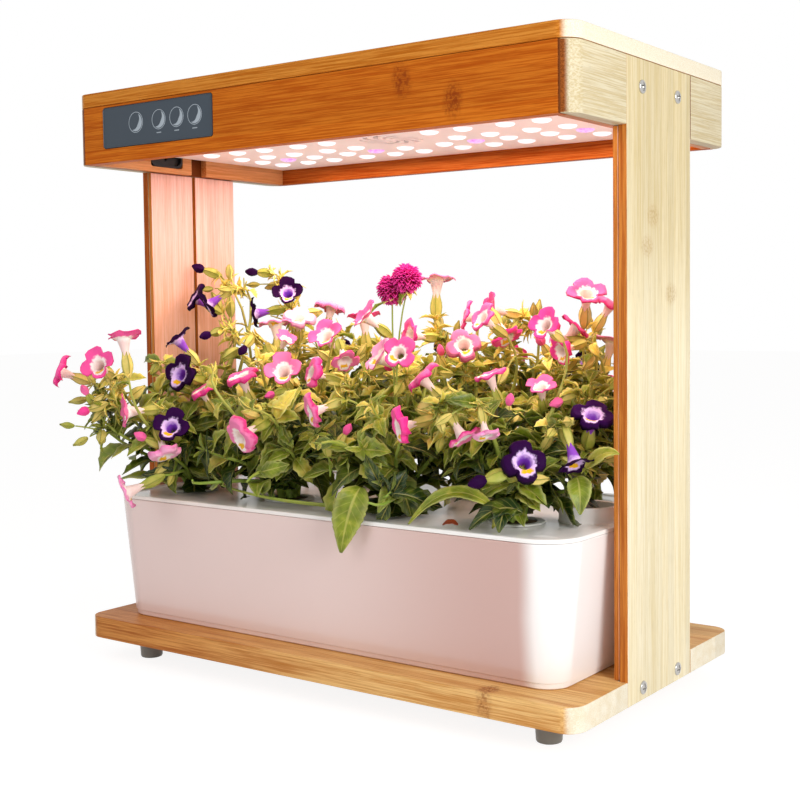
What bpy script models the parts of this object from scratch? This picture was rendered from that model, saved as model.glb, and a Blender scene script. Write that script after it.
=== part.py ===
"""Countertop hydroponic garden: a bamboo stand, a lamp hood on two posts, a water tank and eight plants.

Metres, +Z up. The origin lies on the standing surface, under the middle of the base board.
X runs along the tank, the touch panel faces -Y, and every place is worked out from the sizes below.
"""
from math import cos, hypot, pi, radians, sin

import bmesh
import bpy
from mathutils import Matrix, Vector

# Fits shared by all pieces
GAP = 0.0003
OVERRUN = 0.002

# Stand: base board, feet and the growing height between the base and the hood
WIDTH = 0.400
BASE_DEPTH = 0.212
BASE_THICKNESS = 0.015
BOARD_CORNER_RADIUS = 0.012
GROWING_HEIGHT = 0.320
FOOT_HEIGHT = 0.0165
FOOT_TOP_RADIUS = 0.0085
FOOT_BOTTOM_RADIUS = 0.0077
FOOT_EDGE = 0.0012
FOOT_SIDE_DISTANCE = 0.034
FOOT_FRONT_DISTANCE = 0.029
SPIGOT_RADIUS = 0.003
SPIGOT_LENGTH = 0.008

# Posts: an outer board and two inner strips with a cable groove between them
POST_WIDTH = 0.086
POST_FRONT_DISTANCE = 0.061
POST_OUTER_THICKNESS = 0.0055
POST_INNER_THICKNESS = 0.0035
CABLE_GROOVE_WIDTH = 0.0028

# Hood boards
HOOD_DEPTH = 0.205
HOOD_HEIGHT = 0.049
HOOD_TOP_THICKNESS = 0.0095
HOOD_SIDE_THICKNESS = 0.009
HOOD_FRONT_THICKNESS = 0.009
HOOD_BACK_THICKNESS = 0.006
BLOCK_THICKNESS = 0.006
BLOCK_SPACING = 0.015

# Screws that hold the posts to the hood and the base
SCREW_HEAD_RADIUS = 0.004
SCREW_HEAD_HEIGHT = 0.0014
SCREW_EDGE_HEIGHT = 0.0005
SCREW_SHANK_RADIUS = 0.0017
SCREW_LENGTH = 0.0135
SCREW_SPACING = 0.0475
SCREW_HOOD_HEIGHT = 0.0233
SCREW_RECESS_LENGTH = 0.0042
SCREW_RECESS_WIDTH = 0.0009
SCREW_RECESS_DEPTH = 0.0009

# Touch panel and its board, let into the hood's front
PANEL_WIDTH = 0.105
PANEL_HEIGHT = 0.0276
PANEL_THICKNESS = 0.002
PANEL_CORNER_RADIUS = 0.002
PANEL_SIDE_DISTANCE = 0.030
PANEL_BOTTOM_DISTANCE = 0.0097
TOUCH_BOARD_THICKNESS = 0.0016
TOUCH_BOARD_MARGIN = 0.004
TOUCH_WIRE_RADIUS = 0.004

# Lamp: drilled plate, lens sheet and lamp board, stacked in the hood
LAMP_RECESS = 0.012
LED_PLATE_THICKNESS = 0.002
LENS_SHEET_THICKNESS = 0.0015
LED_BOARD_THICKNESS = 0.0016
LENS_RADIUS = 0.0064
LENS_PITCH_X = 0.0265
LENS_PITCH_Y = 0.023
LENS_MIDDLE_DISTANCE = 0.017
LENS_ROW_DISTANCE = 0.016
MODULE_SPACING = 0.032
LAMP_EDGE_MARGIN = 0.006

# Swirl vent in the lamp plate and the fan behind it
VENT_RADIUS = 0.022
VENT_HUB_RADIUS = 0.005
VENT_SLOT_COUNT = 10
VENT_SWEEP = radians(62)
VENT_OPEN_SHARE = 0.5
FAN_SIZE = 0.040
FAN_HEIGHT = 0.010
FAN_WALL = 0.001
FAN_STRUT_WIDTH = 0.003
FAN_STRUT_THICKNESS = 0.0015
FAN_CLEARANCE = 0.0006
FAN_HUB_RADIUS = 0.009
FAN_HUB_WALL = 0.0012
FAN_BEARING_RADIUS = 0.003
FAN_PIN_RADIUS = 0.0014
FAN_BLADE_COUNT = 7
FAN_BLADE_CHORD = 0.0075
FAN_BLADE_THICKNESS = 0.0008
FAN_BLADE_PITCH = radians(35)

# Control box, power inlet and pump socket
CONTROL_BOX_LENGTH = 0.070
CONTROL_BOX_DEPTH = 0.045
CONTROL_BOX_HEIGHT = 0.014
CONTROL_BOX_EDGE = 0.001
CONTROL_BOX_SIDE_DISTANCE = 0.0544
INLET_SIDE_DISTANCE = 0.036
INLET_BARREL_RADIUS = 0.005
INLET_BARREL_LENGTH = 0.013
INLET_FLANGE_RADIUS = 0.0072
INLET_FLANGE_THICKNESS = 0.0015
INLET_BORE_RADIUS = 0.0032
INLET_BORE_DEPTH = 0.010
INLET_PIN_RADIUS = 0.001
SOCKET_WIDTH = 0.031
SOCKET_HEIGHT = 0.0155
SOCKET_CORNER_RADIUS = 0.005
SOCKET_FRONT_DISTANCE = 0.056
SOCKET_BOTTOM_DISTANCE = 0.004
SOCKET_RIM = 0.0015
SOCKET_POCKET_DEPTH = 0.0025
SOCKET_JACK_RADIUS = 0.00275

# Water tank
TANK_DEPTH = 0.183
TANK_HEIGHT = 0.0845
TANK_DRAFT = 0.0075
TANK_CORNER_RADIUS = 0.024
TANK_WALL = 0.0022
TANK_FRONT_DISTANCE = 0.012
TANK_LEFT_CLEARANCE = 0.00325
TANK_RIGHT_CLEARANCE = 0.00625
PLINTH_HEIGHT = 0.0035
PLINTH_INSET = 0.0007

# Lid, its inlet collar and the planting holes
LID_THICKNESS = 0.0025
LID_EDGE = 0.0008
LID_BORDER = 0.006
LID_RECESS = 0.0008
SKIRT_DEPTH = 0.005
SKIRT_THICKNESS = 0.0015
SKIRT_CLEARANCE = 0.0006
COLLAR_RADIUS = 0.018
COLLAR_WALL = 0.002
COLLAR_HEIGHT = 0.010
COLLAR_SIDE_DISTANCE = 0.0268
COLLAR_SHIFT_Y = -0.0125
POD_COUNT_X = 4
POD_FIRST_DISTANCE = 0.0378
POD_LAST_DISTANCE = 0.0587
POD_ROW_DISTANCE = 0.0475

# Planting baskets
BASKET_RADIUS = 0.0145
BASKET_BOTTOM_RADIUS = 0.0115
BASKET_DEPTH = 0.027
BASKET_WALL = 0.0012
BASKET_FLANGE_WIDTH = 0.003
BASKET_FLANGE_THICKNESS = 0.0012
BASKET_SLOT_COUNT = 4
BASKET_SLOT_WIDTH = 0.004
BASKET_SLOT_MARGIN = 0.005
BASKET_BOTTOM_HOLE_RADIUS = 0.005
BASKET_CLEARANCE = 0.0006

# Plants: a root plug, a stem and a leafy crown that spreads past the tank. The rear plants are the tallest.
# Each crown reaches a share of the spread from the middle of the tank: the first front plant and the second
# rear one reach furthest, equally far.
PLANT_HEIGHT = 0.152
FRONT_PLANT_SHARE = 0.80
PLANT_OVERHANG = 0.042
FRONT_REACH_SHARES = (0.948, 0.89, 0.856, 0.822)
REAR_REACH_SHARES = (0.77, 0.948, 0.80, 0.62)
PLANT_SPACING = 0.002
PLANT_POST_CLEARANCE = 0.003
STEM_RADIUS = 0.005
CROWN_START = 0.012

# Pump on the tank's floor
PUMP_LENGTH = 0.036
PUMP_WIDTH = 0.030
PUMP_HEIGHT = 0.028
PUMP_EDGE = 0.0015
PUMP_END_DISTANCE = 0.014
PUMP_CHAMBER_RADIUS = 0.0105
PUMP_CHAMBER_DEPTH = 0.010
PUMP_PIN_RADIUS = 0.0012
PUMP_NOZZLE_RADIUS = 0.004
PUMP_NOZZLE_HEIGHT = 0.005
PUMP_NOZZLE_WALL = 0.0012
PUMP_COVER_THICKNESS = 0.002
PUMP_COVER_SLOT_COUNT = 5
PUMP_COVER_SLOT_WIDTH = 0.002
PUMP_COVER_SLOT_MARGIN = 0.005
IMPELLER_HUB_RADIUS = 0.003
IMPELLER_VANE_COUNT = 6
IMPELLER_VANE_THICKNESS = 0.001
IMPELLER_CLEARANCE = 0.001

# Sides of the round pieces
ROUND_SIDES = 24
SMALL_ROUND_SIDES = 12
LENS_SIDES = 10
CORNER_STEPS = 6
SWIRL_STEPS = 5

# Levels and lines worked out from the sizes
HALF_WIDTH = WIDTH / 2
BASE_TOP = FOOT_HEIGHT + BASE_THICKNESS
HOOD_BOTTOM = BASE_TOP + GROWING_HEIGHT
HOOD_TOP = HOOD_BOTTOM + HOOD_HEIGHT
HOOD_CEILING = HOOD_TOP - HOOD_TOP_THICKNESS
FRONT = -BASE_DEPTH / 2
HOOD_BACK = FRONT + HOOD_DEPTH
POST_THICKNESS = POST_OUTER_THICKNESS + POST_INNER_THICKNESS
POST_FRONT = FRONT + POST_FRONT_DISTANCE
POST_BACK = POST_FRONT + POST_WIDTH
POST_MIDDLE = (POST_FRONT + POST_BACK) / 2
LAMP_LEFT = -HALF_WIDTH + HOOD_SIDE_THICKNESS + BLOCK_THICKNESS + 2 * GAP
LAMP_FRONT = FRONT + HOOD_FRONT_THICKNESS + GAP
LAMP_BACK = HOOD_BACK - HOOD_BACK_THICKNESS - GAP
LAMP_MIDDLE = (LAMP_FRONT + LAMP_BACK) / 2
LED_PLATE_BOTTOM = HOOD_BOTTOM + LAMP_RECESS
LED_PLATE_TOP = LED_PLATE_BOTTOM + LED_PLATE_THICKNESS
LENS_SHEET_TOP = LED_PLATE_TOP + GAP + LENS_SHEET_THICKNESS
LED_BOARD_TOP = LENS_SHEET_TOP + GAP + LED_BOARD_THICKNESS
INNER_MODULE_X = LENS_MIDDLE_DISTANCE + LENS_PITCH_X
OUTER_MODULE_X = INNER_MODULE_X + 2 * LENS_PITCH_X + MODULE_SPACING
MODULE_Y = LENS_ROW_DISTANCE + LENS_PITCH_Y
PANEL_LEFT = -HALF_WIDTH + PANEL_SIDE_DISTANCE
PANEL_BOTTOM = HOOD_BOTTOM + PANEL_BOTTOM_DISTANCE
TANK_LEFT = -HALF_WIDTH + POST_THICKNESS + TANK_LEFT_CLEARANCE
TANK_RIGHT = HALF_WIDTH - POST_THICKNESS - TANK_RIGHT_CLEARANCE
TANK_LENGTH = TANK_RIGHT - TANK_LEFT
TANK_FRONT = FRONT + TANK_FRONT_DISTANCE
TANK_BACK = TANK_FRONT + TANK_DEPTH
TANK_MIDDLE = (TANK_FRONT + TANK_BACK) / 2
TANK_BOTTOM = BASE_TOP + GAP
TANK_TOP = TANK_BOTTOM + TANK_HEIGHT
TANK_FLOOR = TANK_BOTTOM + TANK_WALL
LID_BOTTOM = TANK_TOP + GAP
LID_TOP = LID_BOTTOM + LID_THICKNESS
LID_SURFACE = LID_TOP - LID_RECESS
COLLAR_X = TANK_RIGHT - COLLAR_SIDE_DISTANCE
COLLAR_Y = TANK_MIDDLE + COLLAR_SHIFT_Y
POD_PITCH_X = (TANK_LENGTH - POD_FIRST_DISTANCE - POD_LAST_DISTANCE) / (POD_COUNT_X - 1)
POD_PITCH_Y = TANK_DEPTH - 2 * POD_ROW_DISTANCE
PUMP_LEFT = TANK_LEFT + TANK_DRAFT + TANK_WALL + PUMP_END_DISTANCE
PUMP_BOTTOM = TANK_FLOOR + GAP


def clear_scene():
    for old in list(bpy.data.objects):
        bpy.data.objects.remove(old, do_unlink=True)


def material(name, colour, roughness, metallic=0.0):
    """A Principled material with one colour, given as linear red, green and blue."""
    made = bpy.data.materials.new(name)
    made.use_nodes = True
    shader = made.node_tree.nodes["Principled BSDF"]
    shader.inputs["Base Color"].default_value = (*colour, 1.0)
    shader.inputs["Roughness"].default_value = roughness
    shader.inputs["Metallic"].default_value = metallic
    made.diffuse_color = (*colour, 1.0)
    return made


def pale_bamboo():
    return material("pale_bamboo", (0.83, 0.66, 0.40), 0.45)


def amber_bamboo():
    return material("amber_bamboo", (0.62, 0.29, 0.09), 0.42)


def dark_rubber():
    return material("dark_rubber", (0.045, 0.05, 0.055), 0.75)


def screw_steel():
    return material("screw_steel", (0.72, 0.72, 0.72), 0.25, 1.0)


def slate_glass():
    return material("slate_glass", (0.06, 0.08, 0.10), 0.25)


def circuit_board():
    return material("circuit_board", (0.75, 0.78, 0.76), 0.5)


def lamp_white():
    return material("lamp_white", (0.86, 0.74, 0.72), 0.4)


def lens_clear():
    return material("lens_clear", (0.95, 0.93, 0.96), 0.1)


def black_plastic():
    return material("black_plastic", (0.02, 0.02, 0.022), 0.4)


def tank_white():
    return material("tank_white", (0.84, 0.80, 0.80), 0.15)


def basket_white():
    return material("basket_white", (0.78, 0.78, 0.76), 0.45)


def leaf_green():
    return material("leaf_green", (0.16, 0.27, 0.05), 0.55)


def store(name, mesh, surface):
    """Puts a finished mesh in the scene as one object with one material."""
    mesh.materials.append(surface)
    made = bpy.data.objects.new(name, mesh)
    bpy.context.scene.collection.objects.link(made)
    return made


def shade(mesh, angle=radians(35)):
    mesh.shade_smooth()
    mesh.set_sharp_from_angle(angle=angle)


def close_rings(name, rings, surface):
    """Joins rings of equal count with quads, from a first cap to a last cap, into one closed body."""
    solid = bmesh.new()
    rows = [[solid.verts.new(point) for point in ring] for ring in rings]
    count = len(rows[0])
    for low, high in zip(rows, rows[1:]):
        for i in range(count):
            j = (i + 1) % count
            solid.faces.new((low[i], low[j], high[j], high[i]))
    solid.faces.new(list(reversed(rows[0])))
    solid.faces.new(rows[-1])
    bmesh.ops.recalc_face_normals(solid, faces=solid.faces)
    mesh = bpy.data.meshes.new(name)
    solid.to_mesh(mesh)
    solid.free()
    shade(mesh)
    return store(name, mesh, surface)


def lift(outline, level, axis="Z"):
    """Sets a flat outline at a level of the axis square to it."""
    if axis == "X":
        return [Vector((level, a, b)) for a, b in outline]
    if axis == "Y":
        return [Vector((a, level, b)) for a, b in outline]
    return [Vector((a, b, level)) for a, b in outline]


def prism(name, outline, low, high, surface, axis="Z"):
    return close_rings(name, [lift(outline, low, axis), lift(outline, high, axis)], surface)


def rectangle(left, right, near, far):
    return [(left, near), (right, near), (right, far), (left, far)]


def rounded_rectangle(left, right, near, far, radius, steps=CORNER_STEPS):
    """A rectangle with four round corners, anticlockwise from the near right corner."""
    corners = ((right - radius, near + radius, -pi / 2), (right - radius, far - radius, 0),
               (left + radius, far - radius, pi / 2), (left + radius, near + radius, pi))
    points = []
    for x, y, start in corners:
        for i in range(steps + 1):
            angle = start + pi / 2 * i / steps
            points.append((x + radius * cos(angle), y + radius * sin(angle)))
    return points


def circle(x, y, radius, sides=ROUND_SIDES):
    return [(x + radius * cos(2 * pi * i / sides), y + radius * sin(2 * pi * i / sides))
            for i in range(sides)]


def turned(name, profile, surface, centre=(0, 0), sides=ROUND_SIDES, axis="Z"):
    """A round piece from (radius, level) pairs, which run from its first cap to its last."""
    rings = [lift(circle(*centre, radius, sides), level, axis) for radius, level in profile]
    return close_rings(name, rings, surface)


def box(name, low, high, surface):
    return prism(name, rectangle(low[0], high[0], low[1], high[1]), low[2], high[2], surface)


def as_cutter(tool):
    tool.hide_render = True
    tool.display_type = "WIRE"
    return tool


def combine(target, tool, operation="DIFFERENCE"):
    """Cuts, joins or trims the target with a tool that stays in the scene as a hidden guide."""
    step = target.modifiers.new(operation.lower(), "BOOLEAN")
    step.operation = operation
    step.solver = "EXACT"
    step.object = as_cutter(tool)
    return target


def base_board(wood):
    outline = rounded_rectangle(-HALF_WIDTH, HALF_WIDTH, FRONT, FRONT + BASE_DEPTH, BOARD_CORNER_RADIUS)
    board = prism("base_board", outline, FOOT_HEIGHT, BASE_TOP, wood)
    for side in (-1, 1):
        combine(board, post_notch(side, FOOT_HEIGHT - OVERRUN, BASE_TOP + OVERRUN, wood))
        for y in screw_rows():
            combine(board, screw_hole(side, y, base_screw_level(), wood))
    for x, y in foot_places():
        top = FOOT_HEIGHT + SPIGOT_LENGTH
        hole = circle(x, y, SPIGOT_RADIUS + GAP, SMALL_ROUND_SIDES)
        combine(board, prism("spigot_hole", hole, FOOT_HEIGHT - OVERRUN, top, wood))
    return board


def foot_places():
    x = HALF_WIDTH - FOOT_SIDE_DISTANCE
    y = -FRONT - FOOT_FRONT_DISTANCE
    return [(-x, -y), (x, -y), (-x, y), (x, y)]


def foot(name, place, rubber):
    """A tapered rubber foot whose spigot is pushed into the base board."""
    profile = [(FOOT_BOTTOM_RADIUS - FOOT_EDGE, 0), (FOOT_BOTTOM_RADIUS, FOOT_EDGE),
               (FOOT_TOP_RADIUS, FOOT_HEIGHT - GAP), (SPIGOT_RADIUS, FOOT_HEIGHT - GAP),
               (SPIGOT_RADIUS, FOOT_HEIGHT + SPIGOT_LENGTH - GAP)]
    return turned(name, profile, rubber, place)


def post_notch(side, low, high, wood):
    """The slot in a board's outer edge that takes the post's outer board."""
    outer = side * (HALF_WIDTH + OVERRUN)
    inner = side * (HALF_WIDTH - POST_OUTER_THICKNESS - GAP)
    left, right = sorted((outer, inner))
    return box("post_notch", (left, POST_FRONT - GAP, low), (right, POST_BACK + GAP, high), wood)


def screw_rows():
    return POST_MIDDLE - SCREW_SPACING / 2, POST_MIDDLE + SCREW_SPACING / 2


def base_screw_level():
    return FOOT_HEIGHT + BASE_THICKNESS / 2


def hood_screw_level():
    return HOOD_BOTTOM + SCREW_HOOD_HEIGHT


def screw_hole(side, y, level, wood):
    left, right = sorted((side * (HALF_WIDTH + OVERRUN), side * (HALF_WIDTH - SCREW_LENGTH - GAP)))
    outline = circle(y, level, SCREW_SHANK_RADIUS + GAP, SMALL_ROUND_SIDES)
    return prism("screw_hole", outline, left, right, wood, "X")


def post_outer_board(name, side, wood):
    left, right = sorted((side * HALF_WIDTH, side * (HALF_WIDTH - POST_OUTER_THICKNESS)))
    board = box(name, (left, POST_FRONT, FOOT_HEIGHT), (right, POST_BACK, HOOD_CEILING - GAP), wood)
    for y in screw_rows():
        for level in (base_screw_level(), hood_screw_level()):
            combine(board, screw_hole(side, y, level, wood))
    return board


def post_strip(name, side, end, wood):
    """One inner strip; end is -1 for the front strip and 1 for the rear one."""
    outer = side * (HALF_WIDTH - POST_OUTER_THICKNESS - GAP)
    left, right = sorted((outer, side * (HALF_WIDTH - POST_THICKNESS)))
    near = POST_MIDDLE + end * CABLE_GROOVE_WIDTH / 2
    near, far = sorted((near, POST_MIDDLE + end * POST_WIDTH / 2))
    return box(name, (left, near, BASE_TOP + GAP), (right, far, HOOD_BOTTOM - GAP), wood)


def screw(name, side, y, level, steel):
    """A round-head screw along X, with a cross recess; its head stands on the post's outer face."""
    head = [(SCREW_HEAD_RADIUS / 2, SCREW_HEAD_HEIGHT), (SCREW_HEAD_RADIUS, SCREW_EDGE_HEIGHT),
            (SCREW_HEAD_RADIUS, GAP), (SCREW_SHANK_RADIUS, GAP)]
    tip = [(SCREW_SHANK_RADIUS, SCREW_SHANK_RADIUS - SCREW_LENGTH), (SCREW_SHANK_RADIUS / 4, -SCREW_LENGTH)]
    profile = [(radius, side * (HALF_WIDTH + along)) for radius, along in head + tip]
    made = turned(name, profile, steel, (y, level), SMALL_ROUND_SIDES, "X")
    face = HALF_WIDTH + SCREW_HEAD_HEIGHT
    left, right = sorted((side * (face - SCREW_RECESS_DEPTH), side * (face + OVERRUN)))
    half, thin = SCREW_RECESS_LENGTH / 2, SCREW_RECESS_WIDTH / 2
    cross = [(half, thin), (thin, thin), (thin, half), (-thin, half), (-thin, thin), (-half, thin),
             (-half, -thin), (-thin, -thin), (-thin, -half), (thin, -half), (thin, -thin), (half, -thin)]
    outline = [(y + a, level + b) for a, b in cross]
    return combine(made, prism("cross_recess", outline, left, right, steel, "X"))


def hood_outline():
    return rounded_rectangle(-HALF_WIDTH, HALF_WIDTH, FRONT, HOOD_BACK, BOARD_CORNER_RADIUS)


def hood_top_board(wood):
    return prism("hood_top_board", hood_outline(), HOOD_CEILING, HOOD_TOP, wood)


def hood_wall(name, low, high, wood):
    """A board of the hood's frame, trimmed by the hood's round corners."""
    top = HOOD_CEILING - GAP
    wall = box(name, (low[0], low[1], HOOD_BOTTOM), (high[0], high[1], top), wood)
    guide = prism("hood_guide", hood_outline(), HOOD_BOTTOM - OVERRUN, top + OVERRUN, wood)
    return combine(wall, guide, "INTERSECT")


def hood_side_board(name, side, wood):
    left, right = sorted((side * HALF_WIDTH, side * (HALF_WIDTH - HOOD_SIDE_THICKNESS)))
    wall = hood_wall(name, (left, FRONT), (right, HOOD_BACK), wood)
    combine(wall, post_notch(side, HOOD_BOTTOM - OVERRUN, HOOD_CEILING + OVERRUN, wood))
    for y in screw_rows():
        combine(wall, screw_hole(side, y, hood_screw_level(), wood))
    return wall


def hood_front_board(wood):
    half = HALF_WIDTH - HOOD_SIDE_THICKNESS - GAP
    wall = hood_wall("hood_front_board", (-half, FRONT), (half, FRONT + HOOD_FRONT_THICKNESS), wood)
    depth = PANEL_THICKNESS + TOUCH_BOARD_THICKNESS + 2 * GAP
    pocket = panel_outline(-GAP)
    combine(wall, prism("panel_pocket", pocket, FRONT - OVERRUN, FRONT + depth, wood, "Y"))
    hole = circle(PANEL_LEFT + PANEL_WIDTH / 2, PANEL_BOTTOM + PANEL_HEIGHT / 2, TOUCH_WIRE_RADIUS)
    back = FRONT + HOOD_FRONT_THICKNESS + OVERRUN
    return combine(wall, prism("touch_wire_hole", hole, FRONT - OVERRUN, back, wood, "Y"))


def hood_back_board(wood):
    half = HALF_WIDTH - HOOD_SIDE_THICKNESS - GAP
    low = (-half, HOOD_BACK - HOOD_BACK_THICKNESS)
    wall = hood_wall("hood_back_board", low, (half, HOOD_BACK), wood)
    hole = circle(*inlet_place(), INLET_BARREL_RADIUS + GAP, SMALL_ROUND_SIDES)
    near = HOOD_BACK - HOOD_BACK_THICKNESS - OVERRUN
    return combine(wall, prism("inlet_hole", hole, near, HOOD_BACK + OVERRUN, wood, "Y"))


def hood_block(name, side, end, wood):
    """A short board inside the hood's side, which a post's screw reaches."""
    outer = HALF_WIDTH - HOOD_SIDE_THICKNESS - GAP
    left, right = sorted((side * outer, side * (outer - BLOCK_THICKNESS)))
    inner = POST_MIDDLE + end * BLOCK_SPACING / 2
    near, far = sorted((inner, LAMP_FRONT if end < 0 else LAMP_BACK))
    block = box(name, (left, near, HOOD_BOTTOM), (right, far, HOOD_CEILING - GAP), wood)
    combine(block, screw_hole(side, screw_rows()[0 if end < 0 else 1], hood_screw_level(), wood))
    if side < 0 and end < 0:
        slot = socket_outline(-GAP)
        combine(block, prism("socket_slot", slot, left - OVERRUN, right + OVERRUN, wood, "X"))
    return block


def panel_outline(inset):
    return rounded_rectangle(PANEL_LEFT + inset, PANEL_LEFT + PANEL_WIDTH - inset,
                             PANEL_BOTTOM + inset, PANEL_BOTTOM + PANEL_HEIGHT - inset,
                             PANEL_CORNER_RADIUS)


def touch_panel(glass):
    return prism("touch_panel", panel_outline(0), FRONT, FRONT + PANEL_THICKNESS, glass, "Y")


def touch_board(board):
    outline = rectangle(PANEL_LEFT + TOUCH_BOARD_MARGIN, PANEL_LEFT + PANEL_WIDTH - TOUCH_BOARD_MARGIN,
                        PANEL_BOTTOM + TOUCH_BOARD_MARGIN, PANEL_BOTTOM + PANEL_HEIGHT - TOUCH_BOARD_MARGIN)
    near = FRONT + PANEL_THICKNESS + GAP
    return prism("touch_board", outline, near, near + TOUCH_BOARD_THICKNESS, board, "Y")


def lens_places():
    """Centres of the lenses: four modules of 3 by 3 a side, less those that the vent takes."""
    places = []
    for module_x in (-OUTER_MODULE_X, -INNER_MODULE_X, INNER_MODULE_X, OUTER_MODULE_X):
        for module_y in (-MODULE_Y, MODULE_Y):
            for i in (-1, 0, 1):
                for j in (-1, 0, 1):
                    x, y = module_x + i * LENS_PITCH_X, module_y + j * LENS_PITCH_Y
                    if hypot(x, y) > VENT_RADIUS + LENS_RADIUS:
                        places.append((x, LAMP_MIDDLE + y))
    return places


def swirl_slot(turn):
    """One curved slot of the vent: a band whose angle grows with its radius."""
    low, high = VENT_HUB_RADIUS, VENT_RADIUS
    width = 2 * pi / VENT_SLOT_COUNT * VENT_OPEN_SHARE
    edge = []
    for i in range(SWIRL_STEPS + 1):
        share = i / SWIRL_STEPS
        edge.append((low + (high - low) * share, turn + VENT_SWEEP * share))
    far = [(radius, angle + width) for radius, angle in reversed(edge)]
    return [(radius * cos(angle), LAMP_MIDDLE + radius * sin(angle)) for radius, angle in edge + far]


def many_prisms(name, outlines, low, high, surface):
    """Several separate prisms in one cutter."""
    solid = bmesh.new()
    for outline in outlines:
        bottom = [solid.verts.new(point) for point in lift(outline, low)]
        top = [solid.verts.new(point) for point in lift(outline, high)]
        for i in range(len(outline)):
            j = (i + 1) % len(outline)
            solid.faces.new((bottom[i], bottom[j], top[j], top[i]))
        solid.faces.new(list(reversed(bottom)))
        solid.faces.new(top)
    mesh = bpy.data.meshes.new(name)
    solid.to_mesh(mesh)
    solid.free()
    return store(name, mesh, surface)


def led_plate(plastic):
    outline = rectangle(LAMP_LEFT, -LAMP_LEFT, LAMP_FRONT, LAMP_BACK)
    plate = prism("led_plate", outline, LED_PLATE_BOTTOM, LED_PLATE_TOP, plastic)
    holes = [circle(x, y, LENS_RADIUS, LENS_SIDES) for x, y in lens_places()]
    holes += [swirl_slot(2 * pi * i / VENT_SLOT_COUNT) for i in range(VENT_SLOT_COUNT)]
    low, high = LED_PLATE_BOTTOM - OVERRUN, LED_PLATE_TOP + OVERRUN
    return combine(plate, many_prisms("lens_holes", holes, low, high, plastic))


def lamp_sheet(name, bottom, thickness, surface):
    """A sheet behind the lamp plate, with a square window for the fan."""
    outline = rectangle(LAMP_LEFT + LAMP_EDGE_MARGIN, -LAMP_LEFT - LAMP_EDGE_MARGIN,
                        LAMP_FRONT + LAMP_EDGE_MARGIN, LAMP_BACK - LAMP_EDGE_MARGIN)
    sheet = prism(name, outline, bottom, bottom + thickness, surface)
    half = FAN_SIZE / 2 + GAP
    window = rectangle(-half, half, LAMP_MIDDLE - half, LAMP_MIDDLE + half)
    return combine(sheet, prism("fan_window", window, bottom - OVERRUN, bottom + thickness + OVERRUN, surface))


def fan_levels():
    """Bottom of the frame, underside of its struts and top of the frame."""
    bottom = LED_PLATE_TOP + GAP
    top = bottom + FAN_HEIGHT
    return bottom, top - FAN_STRUT_THICKNESS, top


def fan_frame(plastic):
    bottom, strut, top = fan_levels()
    half, bore = FAN_SIZE / 2, FAN_SIZE / 2 - FAN_WALL
    y = LAMP_MIDDLE
    frame = prism("fan_frame", rectangle(-half, half, y - half, y + half), bottom, top, plastic)
    combine(frame, prism("fan_bore", circle(0, y, bore), bottom - OVERRUN, top + OVERRUN, plastic))
    reach, thin = bore + FAN_WALL / 2, FAN_STRUT_WIDTH / 2
    for outline in (rectangle(-reach, reach, y - thin, y + thin), rectangle(-thin, thin, y - reach, y + reach)):
        combine(frame, prism("fan_strut", outline, strut, top, plastic), "UNION")
    combine(frame, prism("fan_disc", circle(0, y, FAN_HUB_RADIUS), strut, top, plastic), "UNION")
    tube_bottom = bottom + FAN_CLEARANCE + FAN_HUB_WALL + FAN_CLEARANCE
    profile = [(FAN_BEARING_RADIUS, tube_bottom), (FAN_BEARING_RADIUS, strut + FAN_STRUT_THICKNESS / 2)]
    combine(frame, turned("fan_bearing", profile, plastic, (0, y)), "UNION")
    bore = [(FAN_PIN_RADIUS + GAP, tube_bottom - OVERRUN), (FAN_PIN_RADIUS + GAP, strut)]
    return combine(frame, turned("bearing_bore", bore, plastic, (0, y), SMALL_ROUND_SIDES))


def fan_rotor(plastic):
    """A cup with a pin and pitched blades, turning about the vertical axis through its origin."""
    bottom, strut, _ = fan_levels()
    low, high = bottom + FAN_CLEARANCE, strut - FAN_CLEARANCE
    height, middle = high - low, (low + high) / 2
    inner = FAN_HUB_RADIUS - FAN_HUB_WALL
    floor = FAN_HUB_WALL - height / 2
    profile = [(FAN_HUB_RADIUS, -height / 2), (FAN_HUB_RADIUS, height / 2), (inner, height / 2),
               (inner, floor), (FAN_PIN_RADIUS, floor), (FAN_PIN_RADIUS, height / 2)]
    rotor = turned("fan_rotor", profile, plastic)
    tip = FAN_SIZE / 2 - FAN_WALL - FAN_CLEARANCE
    root = FAN_HUB_RADIUS - FAN_HUB_WALL / 2
    low_corner = (root, -FAN_BLADE_CHORD / 2, -FAN_BLADE_THICKNESS / 2)
    high_corner = (tip, FAN_BLADE_CHORD / 2, FAN_BLADE_THICKNESS / 2)
    for i in range(FAN_BLADE_COUNT):
        blade = box("fan_blade", low_corner, high_corner, plastic)
        blade.data.transform(Matrix.Rotation(FAN_BLADE_PITCH, 4, "X"))
        blade.data.transform(Matrix.Rotation(2 * pi * i / FAN_BLADE_COUNT, 4, "Z"))
        blade.parent = rotor
        combine(rotor, blade, "UNION")
    rim = [(tip, -height), (tip, height)]
    guide = turned("fan_sweep", rim, plastic)
    guide.parent = rotor
    combine(rotor, guide, "INTERSECT")
    rotor.location = (0, LAMP_MIDDLE, middle)
    return rotor


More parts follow.
